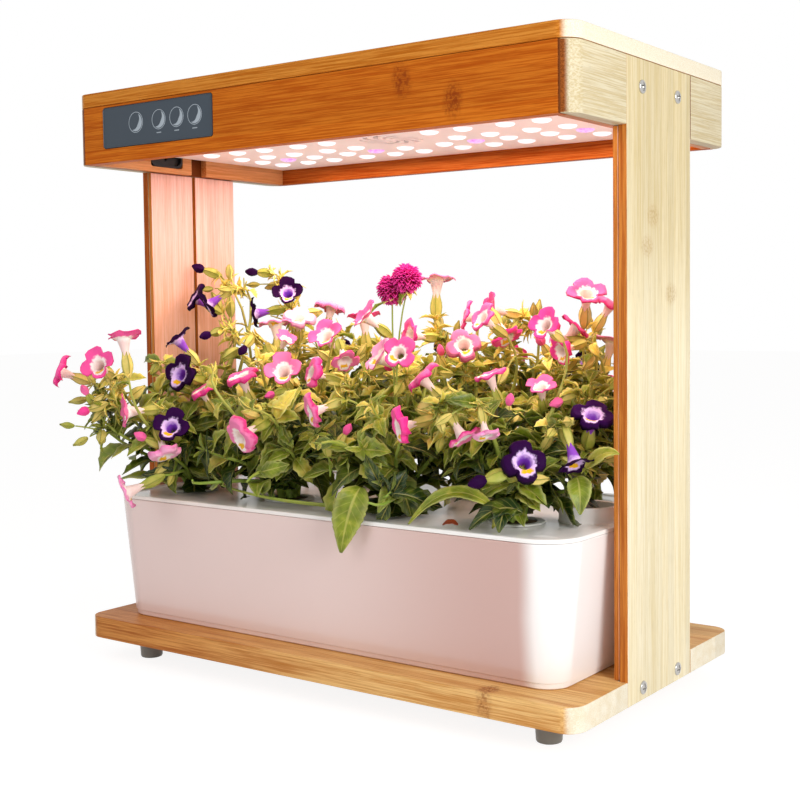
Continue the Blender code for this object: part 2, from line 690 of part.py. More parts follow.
def control_box(plastic):
    x, y = LAMP_LEFT + CONTROL_BOX_SIDE_DISTANCE + CONTROL_BOX_LENGTH / 2, LAMP_MIDDLE
    outline = rectangle(x - CONTROL_BOX_LENGTH / 2, x + CONTROL_BOX_LENGTH / 2,
                        y - CONTROL_BOX_DEPTH / 2, y + CONTROL_BOX_DEPTH / 2)
    bottom = LED_BOARD_TOP + GAP
    made = prism("control_box", outline, bottom, bottom + CONTROL_BOX_HEIGHT, plastic)
    bevel = made.modifiers.new("edges", "BEVEL")
    bevel.width = CONTROL_BOX_EDGE
    bevel.segments = 1
    return made


def inlet_place():
    """Centre of the inlet, halfway between the lamp board and the hood's ceiling."""
    return HALF_WIDTH - INLET_SIDE_DISTANCE, (LED_BOARD_TOP + HOOD_CEILING) / 2


def power_inlet(plastic):
    """A round direct-current socket through the hood's back board, open to the rear."""
    face = HOOD_BACK + GAP + INLET_FLANGE_THICKNESS
    end = face - INLET_FLANGE_THICKNESS - INLET_BARREL_LENGTH
    floor = face - INLET_BORE_DEPTH
    profile = [(INLET_BARREL_RADIUS, end), (INLET_BARREL_RADIUS, HOOD_BACK + GAP),
               (INLET_FLANGE_RADIUS, HOOD_BACK + GAP), (INLET_FLANGE_RADIUS, face),
               (INLET_BORE_RADIUS, face), (INLET_BORE_RADIUS, floor), (INLET_PIN_RADIUS, floor),
               (INLET_PIN_RADIUS, face - INLET_FLANGE_THICKNESS)]
    return turned("power_inlet", profile, plastic, inlet_place(), SMALL_ROUND_SIDES, "Y")


def socket_outline(inset):
    near = FRONT + SOCKET_FRONT_DISTANCE
    low = HOOD_BOTTOM + SOCKET_BOTTOM_DISTANCE
    return rounded_rectangle(near + inset, near + SOCKET_WIDTH - inset, low + inset,
                             low + SOCKET_HEIGHT - inset, SOCKET_CORNER_RADIUS)


def pump_socket(plastic):
    """The pump's socket in the left front block: a rim, a pocket and a round jack."""
    outer = -HALF_WIDTH + HOOD_SIDE_THICKNESS + 2 * GAP
    face = -HALF_WIDTH + HOOD_SIDE_THICKNESS + GAP + BLOCK_THICKNESS
    made = prism("pump_socket", socket_outline(0), outer, face, plastic, "X")
    pocket = socket_outline(SOCKET_RIM)
    combine(made, prism("socket_pocket", pocket, face - SOCKET_POCKET_DEPTH, face + OVERRUN, plastic, "X"))
    y = FRONT + SOCKET_FRONT_DISTANCE + SOCKET_WIDTH / 2
    z = HOOD_BOTTOM + SOCKET_BOTTOM_DISTANCE + SOCKET_HEIGHT / 2
    floor = (outer + face - SOCKET_POCKET_DEPTH) / 2
    jack = circle(y, z, SOCKET_JACK_RADIUS, SMALL_ROUND_SIDES)
    return combine(made, prism("socket_jack", jack, floor, face + OVERRUN, plastic, "X"))


def tank_ring(inset, level):
    """The tank's rim outline, drawn in by an inset at a level."""
    radius = TANK_CORNER_RADIUS - inset
    outline = rounded_rectangle(TANK_LEFT + inset, TANK_RIGHT - inset, TANK_FRONT + inset,
                                TANK_BACK - inset, radius)
    return lift(outline, level)


def tank_draft(level):
    """How far the drafted wall is drawn in at a level."""
    return TANK_DRAFT * (TANK_TOP - level) / TANK_HEIGHT


def water_tank(plastic):
    """A drafted open tub on a low plinth."""
    step = TANK_BOTTOM + PLINTH_HEIGHT
    rings = [tank_ring(tank_draft(TANK_BOTTOM) + PLINTH_INSET, TANK_BOTTOM),
             tank_ring(tank_draft(step) + PLINTH_INSET, step),
             tank_ring(tank_draft(step), step),
             tank_ring(0, TANK_TOP),
             tank_ring(TANK_WALL, TANK_TOP),
             tank_ring(tank_draft(TANK_FLOOR) + TANK_WALL, TANK_FLOOR)]
    return close_rings("water_tank", rings, plastic)


def pod_places():
    """Row name, column number and centre of each planting hole, from the left."""
    places = []
    for row, end in (("front", -1), ("rear", 1)):
        for i in range(POD_COUNT_X):
            x = TANK_LEFT + POD_FIRST_DISTANCE + i * POD_PITCH_X
            places.append((row, i + 1, x, TANK_MIDDLE + end * POD_PITCH_Y / 2))
    return places


def tank_lid(plastic):
    """A lid with a locating skirt, a sunk middle, planting holes and a raised water inlet."""
    skirt_outer = TANK_WALL + SKIRT_CLEARANCE
    skirt_inner = skirt_outer + SKIRT_THICKNESS
    skirt_bottom = LID_BOTTOM - SKIRT_DEPTH
    rings = [tank_ring(skirt_inner, LID_BOTTOM), tank_ring(skirt_inner + tank_draft(skirt_bottom), skirt_bottom),
             tank_ring(skirt_outer + tank_draft(skirt_bottom), skirt_bottom), tank_ring(skirt_outer, LID_BOTTOM),
             tank_ring(0, LID_BOTTOM), tank_ring(0, LID_TOP - LID_EDGE), tank_ring(LID_EDGE, LID_TOP),
             tank_ring(LID_BORDER, LID_TOP), tank_ring(LID_BORDER + LID_RECESS, LID_SURFACE)]
    lid = close_rings("tank_lid", rings, plastic)
    middle = (LID_BOTTOM + LID_SURFACE) / 2
    collar = circle(COLLAR_X, COLLAR_Y, COLLAR_RADIUS)
    combine(lid, prism("inlet_collar", collar, middle, LID_SURFACE + COLLAR_HEIGHT, plastic), "UNION")
    hole_radius = BASKET_RADIUS + BASKET_CLEARANCE
    holes = [circle(x, y, hole_radius, SMALL_ROUND_SIDES) for _, _, x, y in pod_places()]
    holes.append(circle(COLLAR_X, COLLAR_Y, COLLAR_RADIUS - COLLAR_WALL))
    top = LID_SURFACE + COLLAR_HEIGHT + OVERRUN
    return combine(lid, many_prisms("lid_holes", holes, skirt_bottom - OVERRUN, top, plastic))


def planting_basket(name, x, y, plastic):
    """A slotted cup that hangs by its flange in a planting hole."""
    seat = LID_SURFACE + GAP
    top = seat + BASKET_FLANGE_THICKNESS
    bottom = seat - BASKET_DEPTH
    floor = bottom + BASKET_WALL
    profile = [(BASKET_BOTTOM_RADIUS, bottom), (BASKET_RADIUS, seat),
               (BASKET_RADIUS + BASKET_FLANGE_WIDTH, seat), (BASKET_RADIUS + BASKET_FLANGE_WIDTH, top),
               (BASKET_RADIUS - BASKET_WALL, top), (BASKET_BOTTOM_RADIUS - BASKET_WALL, floor)]
    basket = turned(name, profile, plastic, (x, y), SMALL_ROUND_SIDES)
    low, high = bottom + BASKET_SLOT_MARGIN, seat - BASKET_SLOT_MARGIN
    for i in range(BASKET_SLOT_COUNT // 2):
        reach, thin = BASKET_RADIUS + OVERRUN, BASKET_SLOT_WIDTH / 2
        slot = box("basket_slot", (-reach, -thin, low), (reach, thin, high), plastic)
        slot.data.transform(Matrix.Rotation(2 * pi * i / BASKET_SLOT_COUNT, 4, "Z"))
        slot.data.transform(Matrix.Translation((x, y, 0)))
        combine(basket, slot)
    hole = circle(x, y, BASKET_BOTTOM_HOLE_RADIUS, SMALL_ROUND_SIDES)
    return combine(basket, prism("basket_hole", hole, bottom - OVERRUN, floor + OVERRUN, plastic))


# Rings of the crown as shares: height between the crown's start and top, spread to the sides and inwards,
# and spread outwards, to the front for the front row and to the rear for the other
FRONT_CROWN_SHARES = ((0.0, 0.74, 0.60), (0.12, 0.96, 0.80), (0.42, 1.0, 1.0), (0.66, 1.0, 0.90),
                      (0.86, 0.88, 0.64), (1.0, 0.56, 0.32))
REAR_CROWN_SHARES = ((0.0, 0.74, 0.66), (0.10, 0.96, 0.84), (0.36, 1.0, 1.0), (0.58, 1.0, 0.80),
                     (0.78, 0.84, 0.46), (1.0, 0.42, 0.20))
CROWN_SIDES = 16
CROWN_LOBES = 5
CROWN_LOBE_SHARE = 0.06
CROWN_SQUARENESS = 3.6


def crown_reaches(row, column, x, y):
    """How far a crown may spread from its stem: to the left, the right, inwards and outwards."""
    inside = HALF_WIDTH - POST_THICKNESS - PLANT_POST_CLEARANCE
    half_cell = (POD_PITCH_X - PLANT_SPACING) / 2
    left = x + inside if column == 1 else half_cell
    right = inside - x if column == POD_COUNT_X else half_cell
    inward = abs(TANK_MIDDLE - y) - PLANT_SPACING / 2
    shares = FRONT_REACH_SHARES if row == "front" else REAR_REACH_SHARES
    outer = (BASE_DEPTH / 2 + PLANT_OVERHANG) * shares[column - 1] - abs(y)
    return left, right, inward, outer


def crown_ring(x, y, reaches, shares, outward, level):
    """A lobed, squarish ring round the stem. A lobe points outwards on the widest ring, and the lobes turn
    as the ring narrows; rear plants are lobed as the front ones mirrored."""
    left, right, inward, outer = reaches
    side_share, outward_share = shares
    turn = 1 - outward_share - pi / 2
    points = []
    for i in range(CROWN_SIDES):
        angle = outward * 2 * pi * i / CROWN_SIDES
        power = CROWN_SQUARENESS
        flat = (abs(cos(angle)) ** power + abs(sin(angle)) ** power) ** (-1 / power)
        lobe = 1 - CROWN_LOBE_SHARE * (1 - cos(CROWN_LOBES * (angle + turn))) / 2
        across, deep = flat * lobe * cos(angle), flat * lobe * sin(angle)
        across *= side_share * (right if across > 0 else left)
        deep *= outward_share * outer if deep > 0 else side_share * inward
        points.append(Vector((x + across, y + outward * deep, level)))
    return points


def plant(name, row, column, x, y, green):
    """A root plug in its basket, a stem and a crown that spreads from it."""
    plug = BASKET_BOTTOM_RADIUS - BASKET_WALL - GAP
    seat = LID_SURFACE + GAP
    floor = seat - BASKET_DEPTH + BASKET_WALL + GAP
    surface = seat + BASKET_FLANGE_THICKNESS
    front_row = row == "front"
    top = LID_SURFACE + PLANT_HEIGHT * (FRONT_PLANT_SHARE if front_row else 1)
    start = LID_SURFACE + COLLAR_HEIGHT + CROWN_START
    reaches = crown_reaches(row, column, x, y)
    outward = -1 if front_row else 1
    stem = [(plug, floor), (plug, surface), (STEM_RADIUS, surface + STEM_RADIUS)]
    rings = [lift(circle(x, y, radius, CROWN_SIDES), level) for radius, level in stem]
    for height_share, *shares in (FRONT_CROWN_SHARES if front_row else REAR_CROWN_SHARES):
        level = start + (top - start) * height_share
        rings.append(crown_ring(x, y, reaches, shares, outward, level))
    return close_rings(name, rings, green)


def pump_middle():
    """Axis of the pump's chamber, along X."""
    return TANK_MIDDLE, PUMP_BOTTOM + PUMP_HEIGHT / 2


def pump_face():
    return PUMP_LEFT + PUMP_LENGTH


def pump_housing(plastic):
    """A block with a round chamber open to the right, a pin for the impeller and a nozzle on top."""
    y, z = pump_middle()
    face = pump_face()
    floor = face - PUMP_CHAMBER_DEPTH
    outline = rounded_rectangle(y - PUMP_WIDTH / 2, y + PUMP_WIDTH / 2, PUMP_BOTTOM, PUMP_BOTTOM + PUMP_HEIGHT,
                                PUMP_EDGE, 2)
    made = prism("pump_housing", outline, PUMP_LEFT, face, plastic, "X")
    chamber = circle(y, z, PUMP_CHAMBER_RADIUS)
    combine(made, prism("pump_chamber", chamber, floor, face + OVERRUN, plastic, "X"))
    pin = circle(y, z, PUMP_PIN_RADIUS, SMALL_ROUND_SIDES)
    combine(made, prism("pump_pin", pin, floor - PUMP_PIN_RADIUS, face - GAP, plastic, "X"), "UNION")
    x = floor + PUMP_CHAMBER_DEPTH / 2
    top = PUMP_BOTTOM + PUMP_HEIGHT
    nozzle = circle(x, y, PUMP_NOZZLE_RADIUS, SMALL_ROUND_SIDES)
    combine(made, prism("pump_nozzle", nozzle, top - PUMP_EDGE, top + PUMP_NOZZLE_HEIGHT, plastic), "UNION")
    bore = circle(x, y, PUMP_NOZZLE_RADIUS - PUMP_NOZZLE_WALL, SMALL_ROUND_SIDES)
    low = z + PUMP_CHAMBER_RADIUS / 2
    return combine(made, prism("nozzle_bore", bore, low, top + PUMP_NOZZLE_HEIGHT + OVERRUN, plastic))


def pump_impeller(plastic):
    """A vaned wheel that turns on the chamber's pin, about the X axis through its origin."""
    y, z = pump_middle()
    thickness = PUMP_CHAMBER_DEPTH - 2 * IMPELLER_CLEARANCE
    middle = pump_face() - PUMP_CHAMBER_DEPTH / 2
    bottom, top = -thickness / 2, thickness / 2
    hub = [(IMPELLER_HUB_RADIUS, bottom), (IMPELLER_HUB_RADIUS, top)]
    wheel = turned("pump_impeller", hub, plastic, sides=SMALL_ROUND_SIDES, axis="X")
    root = (PUMP_PIN_RADIUS + GAP + IMPELLER_HUB_RADIUS) / 2
    reach = PUMP_CHAMBER_RADIUS - IMPELLER_CLEARANCE
    thin = IMPELLER_VANE_THICKNESS / 2
    for i in range(IMPELLER_VANE_COUNT):
        vane = box("impeller_vane", (bottom + thin, -thin, root), (top - thin, thin, reach), plastic)
        vane.data.transform(Matrix.Rotation(2 * pi * i / IMPELLER_VANE_COUNT, 4, "X"))
        vane.parent = wheel
        combine(wheel, vane, "UNION")
    bore = [(PUMP_PIN_RADIUS + GAP, bottom - OVERRUN), (PUMP_PIN_RADIUS + GAP, top + OVERRUN)]
    tool = turned("impeller_bore", bore, plastic, sides=SMALL_ROUND_SIDES, axis="X")
    tool.parent = wheel
    combine(wheel, tool)
    wheel.location = (middle, y, z)
    return wheel


def pump_cover(plastic):
    """A slotted plate that closes the pump's chamber and lets the water in."""
    y, z = pump_middle()
    near = pump_face() + GAP
    outline = rounded_rectangle(y - PUMP_WIDTH / 2, y + PUMP_WIDTH / 2, PUMP_BOTTOM, PUMP_BOTTOM + PUMP_HEIGHT,
                                PUMP_EDGE, 2)
    cover = prism("pump_cover", outline, near, near + PUMP_COVER_THICKNESS, plastic, "X")
    half = PUMP_WIDTH / 2 - PUMP_COVER_SLOT_MARGIN
    for i in range(PUMP_COVER_SLOT_COUNT):
        level = z + (i - (PUMP_COVER_SLOT_COUNT - 1) / 2) * 2 * PUMP_COVER_SLOT_WIDTH
        low = (near - OVERRUN, y - half, level - PUMP_COVER_SLOT_WIDTH / 2)
        high = (near + PUMP_COVER_THICKNESS + OVERRUN, y + half, level + PUMP_COVER_SLOT_WIDTH / 2)
        combine(cover, box("cover_slot", low, high, plastic))
    return cover


def build_stand():
    pale, amber, steel = pale_bamboo(), amber_bamboo(), screw_steel()
    base_board(amber)
    rubber = dark_rubber()
    names = ("foot_front_left", "foot_front_right", "foot_rear_left", "foot_rear_right")
    for name, place in zip(names, foot_places()):
        foot(name, place, rubber)
    for label, side in (("left", -1), ("right", 1)):
        post_outer_board(f"{label}_post_outer_board", side, pale)
        for end_label, end in (("front", -1), ("rear", 1)):
            post_strip(f"{label}_post_{end_label}_strip", side, end, amber)
            hood_block(f"hood_{label}_{end_label}_block", side, end, amber)
            y = screw_rows()[0 if end < 0 else 1]
            screw(f"{label}_{end_label}_base_screw", side, y, base_screw_level(), steel)
            screw(f"{label}_{end_label}_hood_screw", side, y, hood_screw_level(), steel)
        hood_side_board(f"hood_{label}_side_board", side, pale)
    hood_top_board(amber)
    hood_front_board(amber)
    hood_back_board(amber)


def build_hood_inside():
    board, black = circuit_board(), black_plastic()
    touch_panel(slate_glass())
    touch_board(board)
    led_plate(lamp_white())
    lamp_sheet("lens_sheet", LED_PLATE_TOP + GAP, LENS_SHEET_THICKNESS, lens_clear())
    lamp_sheet("led_board", LENS_SHEET_TOP + GAP, LED_BOARD_THICKNESS, board)
    fan_frame(black)
    fan_rotor(black)
    control_box(black)
    power_inlet(black)
    pump_socket(black)


def build_tank():
    white, black = tank_white(), black_plastic()
    water_tank(white)
    tank_lid(white)
    pump_housing(black)
    pump_impeller(black)
    pump_cover(black)
    cup, green = basket_white(), leaf_green()
    for row, column, x, y in pod_places():
        planting_basket(f"planting_basket_{row}_{column}", x, y, cup)
        plant(f"plant_{row}_{column}", row, column, x, y, green)


def main():
    clear_scene()
    build_stand()
    build_hood_inside()
    build_tank()


main()
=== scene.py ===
"""Countertop hydroponic garden: a bamboo stand with a lamp hood, a white tank and eight flowering plants.

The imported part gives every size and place; this script gives the finish, the lit lenses and the plants.
Lengths are in metres. The scale of a noise is one over the size of its grains.
"""

import math

import bmesh
import bpy
import numpy as np
from mathutils import Matrix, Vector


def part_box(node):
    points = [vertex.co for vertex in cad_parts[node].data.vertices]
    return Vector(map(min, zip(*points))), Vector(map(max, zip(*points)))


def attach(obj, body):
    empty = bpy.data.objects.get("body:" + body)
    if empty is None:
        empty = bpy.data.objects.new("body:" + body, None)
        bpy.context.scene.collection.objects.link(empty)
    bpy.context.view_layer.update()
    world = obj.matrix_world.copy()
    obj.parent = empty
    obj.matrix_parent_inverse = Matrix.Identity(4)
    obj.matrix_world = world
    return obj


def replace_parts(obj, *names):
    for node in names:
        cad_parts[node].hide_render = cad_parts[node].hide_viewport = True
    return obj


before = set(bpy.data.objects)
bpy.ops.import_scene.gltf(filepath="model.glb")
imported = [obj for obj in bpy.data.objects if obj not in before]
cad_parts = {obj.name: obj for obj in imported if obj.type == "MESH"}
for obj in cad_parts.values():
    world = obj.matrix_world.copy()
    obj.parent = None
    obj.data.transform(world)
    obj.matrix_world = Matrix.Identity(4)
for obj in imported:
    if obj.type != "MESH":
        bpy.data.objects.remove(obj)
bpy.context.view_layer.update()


# Camera and studio.
# A camera at the height of the garden's upper third looks at its right front corner. A near soft lamp
# stands to the right, a weak large one in front, and the floor and the surroundings are white.
CAMERA_PLACE = np.array((0.5353, -0.7040, 0.2486))
CAMERA_YAW = math.radians(35.3473)
CAMERA_PITCH = math.radians(3.1241)
CAMERA_ROLL = math.radians(-0.598)
CAMERA_FOCAL_PIXELS = 1284.51
CAMERA_CENTRE_PIXELS = np.array((438.336, 378.644))
IMAGE_PIXELS = 800
SENSOR_WIDTH = 36.0
SKY_STRENGTH = 0.40
KEY_PLACE = (0.93, -0.40, 0.47)
KEY_SIZE = 0.42
KEY_SHARE = 0.54
FILL_PLACE = (-0.40, -1.7, 1.25)
FILL_SIZE = 1.4
FILL_SHARE = 0.20
LAMP_TARGET = (0.0, 0.0, 0.2)
FLOOR_SIZE = 12.0
FLOOR_DEPTH = 0.0002
FLOOR_GLOW = 0.88
MAXIMUM = {"operation": "MAXIMUM"}


def linear(code):
    """A colour written as sRGB hex, as linear red, green, blue and alpha."""
    parts = np.array([int(code[i:i + 2], 16) for i in (1, 3, 5)]) / 255
    bright = np.where(parts <= 0.04045, parts / 12.92, ((parts + 0.055) / 1.055) ** 2.4)
    return (*bright.tolist(), 1.0)


def feed(made, *inputs, **named):
    """Feeds a node's inputs, by place among those in use or by name with _ for a space. What it feeds is a
    value, a hex colour, one output of a node, or a node, which gives its first output in use."""
    sockets = [socket for socket in made.inputs if socket.enabled][:len(inputs)]
    sockets += [made.inputs[key.replace("_", " ")] for key in named]
    for socket, value in zip(sockets, (*inputs, *named.values())):
        if isinstance(value, bpy.types.Node):
            value = next(output for output in value.outputs if output.enabled)
        if isinstance(value, bpy.types.NodeSocket):
            made.id_data.links.new(value, socket)
        else:
            socket.default_value = linear(value) if isinstance(value, str) else value


def node(tree, kind, settings, *inputs, **named):
    """Adds a shader node with its settings and feeds its inputs."""
    made = tree.nodes.new("ShaderNode" + kind)
    for key, value in settings.items():
        setattr(made, key, value)
    feed(made, *inputs, **named)
    return made


def camera_axes():
    """The camera's right, up and forward directions, from its yaw, pitch and roll."""
    level = np.array((-math.sin(CAMERA_YAW), math.cos(CAMERA_YAW), 0.0))
    side = np.array((math.cos(CAMERA_YAW), math.sin(CAMERA_YAW), 0.0))
    rise = np.array((0.0, 0.0, 1.0))
    forward = level * math.cos(CAMERA_PITCH) - rise * math.sin(CAMERA_PITCH)
    up = rise * math.cos(CAMERA_PITCH) + level * math.sin(CAMERA_PITCH)
    right = side * math.cos(CAMERA_ROLL) + up * math.sin(CAMERA_ROLL)
    return right, up * math.cos(CAMERA_ROLL) - side * math.sin(CAMERA_ROLL), forward


def aim(thing, place, right, up, forward):
    """Puts a camera or lamp at a place, looking along forward: the directions are its matrix's columns."""
    matrix = np.eye(4)
    matrix[:3] = np.column_stack((right, up, -forward, place))
    thing.matrix_world = Matrix(matrix.tolist())


scene = bpy.context.scene
scene.view_settings.view_transform = "Standard"
camera = bpy.data.objects.new("camera", bpy.data.cameras.new("camera"))
camera.data.sensor_width = SENSOR_WIDTH
camera.data.lens = CAMERA_FOCAL_PIXELS / IMAGE_PIXELS * SENSOR_WIDTH
camera_shift = (IMAGE_PIXELS / 2 - CAMERA_CENTRE_PIXELS) * (1, -1) / IMAGE_PIXELS
camera.data.shift_x = float(camera_shift[0])
camera.data.shift_y = float(camera_shift[1])
scene.collection.objects.link(camera)
scene.camera = camera
aim(camera, CAMERA_PLACE, *camera_axes())


def soft_lamp(name, place, size, share):
    """A square soft lamp aimed at the garden; a white face towards it gains that share of white."""
    lamp = bpy.data.objects.new(name, bpy.data.lights.new(name, "AREA"))
    forward = np.array(LAMP_TARGET) - place
    distance = np.linalg.norm(forward)
    lamp.data.size = size
    lamp.data.energy = share * (math.pi * distance) ** 2
    scene.collection.objects.link(lamp)
    forward = forward / distance
    right = np.cross(forward, (0.0, 0.0, 1.0))
    right = right / np.linalg.norm(right)
    aim(lamp, place, right, np.cross(right, forward), forward)


soft_lamp("key_lamp", KEY_PLACE, KEY_SIZE, KEY_SHARE)
soft_lamp("fill_lamp", FILL_PLACE, FILL_SIZE, FILL_SHARE)


def eye_rays(tree):
    """1 where a ray leads to the eye, straight or by mirrors and glass, and 0 where it only carries light."""
    rays = node(tree, "LightPath", {}).outputs
    seen = node(tree, "Math", MAXIMUM, rays["Is Camera Ray"], rays["Is Glossy Ray"])
    return node(tree, "Math", MAXIMUM, seen, rays["Is Transmission Ray"])


def white_surroundings():
    """An even sky: plain white to the eye and in reflections, dimmer as a light."""
    world = bpy.data.worlds.new("surroundings")
    world.use_nodes = True
    tree = world.node_tree
    tree.nodes.clear()
    light = node(tree, "Background", {}, "#FFFFFF", SKY_STRENGTH)
    white = node(tree, "Background", {}, "#FFFFFF", 1.0)
    node(tree, "OutputWorld", {}, node(tree, "MixShader", {}, eye_rays(tree), light, white))
    return world


scene.world = white_surroundings()


def floor_paint():
    """A pale floor that looks white where it is lit and keeps a faint shadow under the garden."""
    made = bpy.data.materials.new("floor_paint")
    made.use_nodes = True
    tree = made.node_tree
    tree.nodes.clear()
    plain = node(tree, "BsdfDiffuse", {}, "#F0EFEE")
    shadow = node(tree, "BsdfDiffuse", {}, "#8A8887")
    white = node(tree, "AddShader", {}, shadow, node(tree, "Emission", {}, "#FFFFFF", FLOOR_GLOW))
    node(tree, "OutputMaterial", {}, node(tree, "MixShader", {}, eye_rays(tree), plain, white))
    return made


def plain_floor():
    """A square floor a hair below the feet."""
    half = FLOOR_SIZE / 2
    mesh = bpy.data.meshes.new("floor")
    corners = [(-half, -half), (half, -half), (half, half), (-half, half)]
    mesh.from_pydata([(x, y, -FLOOR_DEPTH) for x, y in corners], [], [(0, 1, 2, 3)])
    mesh.materials.append(floor_paint())
    made = bpy.data.objects.new("floor", mesh)
    scene.collection.objects.link(made)


plain_floor()


# Base board.
# A thick board of pressed bamboo strips, oiled and lacquered, with round corners, soft arrises and a
# notch in each end for the post. Every other board is made the same way.
BOARD_ARRIS = 0.0006
ARRIS_STEPS = 4
CORNER_STEPS = 12
EDGE_STEPS = 2
SHARP_ANGLE = math.radians(38)
BOARD_CORNER_RADIUS = 0.012
JOINT_GAP = 0.0003
STRIP_WIDTH = 0.020
FIBRE_LENGTH = 0.040
FIBRE_WIDTH = 0.0007
FLECK_LENGTH = 0.009
FLECK_WIDTH = 0.0004
DOT_SIZE = 0.001667
FIBRE_RELIEF = 0.0002
KNOT_SIZE = (0.0085, 0.0105)
MULTIPLY = {"operation": "MULTIPLY"}
MULTIPLY_ADD = {"operation": "MULTIPLY_ADD"}
ABSOLUTE = {"operation": "ABSOLUTE"}
SMOOTH = {"interpolation_type": "SMOOTHSTEP"}
MIX = {"data_type": "RGBA"}


def coated(name, **values):
    """A new material, with the values fed to its shader. Gives the material, its tree, its shader and the
    place on the object, by which patterns are laid out."""
    made = bpy.data.materials.new(name)
    made.use_nodes = True
    tree = made.node_tree
    shader = tree.nodes["Principled BSDF"]
    feed(shader, **values)
    return made, tree, shader, node(tree, "TexCoord", {}).outputs["Object"]


def bamboo(name, sides, ends, along, across, strip=STRIP_WIDTH, knots=(), end_axis=0, end_turn=(0.25, 0.60),
           shine=0.12, cloudy=0.4, drift=None, ink=("#82330A", 0.80)):
    """Lacquered bamboo: long fibres, strips of slightly different tone and brown speckled nodes.

    along and across number the axes of the fibres and of the strips. Each pair of colours is a pale and a
    deep one: the ends' pair shows on faces turned to the end axis by more than end_turn, so the colour
    follows which way a face turns. On most boards this paints light and shade: faces turned towards X are
    pale, for the light from the right. Knots are places along and across, and ink is their colour and
    strength. drift gives the pair that the sides change to, and the two places along between which they do: a
    painted change of light along the board."""
    made, tree, shader, place = coated(name, IOR=1.5, Specular_IOR_Level=shine)
    axes = node(tree, "SeparateXYZ", {}, place).outputs
    lane = node(tree, "Math", {"operation": "FLOOR"}, node(tree, "Math", MULTIPLY, axes[across], 1 / strip))
    tone = node(tree, "TexWhiteNoise", {"noise_dimensions": "1D"}, W=lane)

    def streaks(length, width, detail):
        """Noise drawn out along the fibres, with grains of that length and width."""
        scale = [1 / width] * 3
        scale[along] = 1 / length
        drawn = node(tree, "VectorMath", MULTIPLY, place, scale)
        return node(tree, "TexNoise", {}, Vector=drawn, Scale=1.0, Detail=detail, Roughness=0.65)

    fibre = streaks(FIBRE_LENGTH, FIBRE_WIDTH, 3.0)
    cloud = streaks(FIBRE_LENGTH * 4, strip / 3, 2.0)
    fleck = streaks(FLECK_LENGTH, FLECK_WIDTH, 1.0)
    share = node(tree, "Math", MULTIPLY_ADD, fibre, 1 - cloudy, node(tree, "Math", MULTIPLY, cloud, cloudy))
    share = node(tree, "MapRange", SMOOTH, share, 0.38, 0.62)
    face = node(tree, "Mix", MIX, share, *sides[::-1])
    if drift:
        pair, limits = drift
        drifted = node(tree, "Mix", MIX, share, *pair[::-1])
        face = node(tree, "Mix", MIX, node(tree, "MapRange", SMOOTH, axes[along], *limits), face, drifted)
    normal = node(tree, "SeparateXYZ", {}, node(tree, "TexCoord", {}).outputs["Normal"]).outputs[end_axis]
    turned_away = node(tree, "MapRange", SMOOTH, node(tree, "Math", ABSOLUTE, normal), *end_turn)
    colour = node(tree, "Mix", MIX, turned_away, face, node(tree, "Mix", MIX, share, *ends[::-1]))
    value = node(tree, "Math", MULTIPLY_ADD, tone, 0.12, 0.93)
    value = node(tree, "Math", MULTIPLY, value, node(tree, "MapRange", {}, fleck, 0.30, 0.42, 0.88, 1.0))
    colour = node(tree, "HueSaturation", {}, Value=value, Color=colour)
    height = fibre
    dots = node(tree, "TexNoise", {}, Vector=place, Scale=1 / DOT_SIZE, Detail=1.0)
    dots = node(tree, "MapRange", {}, dots, 0.46, 0.60, 0.38, 1.0)
    for knot in knots:
        scale, centre = np.zeros((2, 3))
        scale[[along, across]] = 1 / np.array(KNOT_SIZE)
        centre[[along, across]] = knot
        near = node(tree, "VectorMath", MULTIPLY, place, scale.tolist())
        near = node(tree, "VectorMath", {"operation": "DISTANCE"}, near, (centre * scale).tolist())
        mark = node(tree, "MapRange", SMOOTH, near, 0.35, 1.0, ink[1], 0.0)
        mark = node(tree, "Math", MULTIPLY, mark, dots)
        colour = node(tree, "Mix", MIX, mark, colour, ink[0])
        height = node(tree, "Math", MULTIPLY_ADD, mark, -0.4, height)
    rough = node(tree, "MapRange", {}, fibre, 0.3, 0.7, 0.52, 0.38)
    bump = node(tree, "Bump", {}, Strength=0.25, Distance=FIBRE_RELIEF, Height=height)
    feed(shader, Base_Color=colour, Roughness=rough, Normal=bump)
    return made


def put(name, grids, surface, closed=True, wrap=True, loop=False):
    """Makes one piece from grids of points, (rows, columns, 3) or many such, smooth between its sharp edges.
    Wrap joins the last column to the first and loop the last row to the first. A closed piece has its ends
    shut, where nothing joins them, and its faces turned outwards."""
    points = np.asarray(grids, float)
    points = points.reshape(-1, *points.shape[-3:])
    index = np.arange(points[..., 0].size).reshape(points.shape[:3])
    if loop:
        index = np.concatenate((index, index[:, :1]), 1)
    near, far = (index, np.roll(index, -1, 2)) if wrap else (index[:, :, :-1], index[:, :, 1:])
    faces = np.stack((near[:, :-1], far[:, :-1], far[:, 1:], near[:, 1:]), -1).reshape(-1, 4).tolist()
    if closed and not loop:
        faces += index[:, 0, ::-1].tolist() + index[:, -1].tolist()
    mesh = bpy.data.meshes.new(name)
    mesh.from_pydata(points.reshape(-1, 3).tolist(), [], faces)
    if closed:
        solid = bmesh.new()
        solid.from_mesh(mesh)
        bmesh.ops.recalc_face_normals(solid, faces=solid.faces)
        solid.to_mesh(mesh)
        solid.free()
    mesh.shade_smooth()
    mesh.set_sharp_from_angle(angle=SHARP_ANGLE)
    mesh.materials.append(surface)
    made = bpy.data.objects.new(name, mesh)
    scene.collection.objects.link(made)
    return made


def evened(piece):
    """Shades wide faces flat up to their rounded edges, as larger faces weigh more in the normals."""
    piece.modifiers.new("even_shading", "WEIGHTED_NORMAL").keep_sharp = True
    return piece


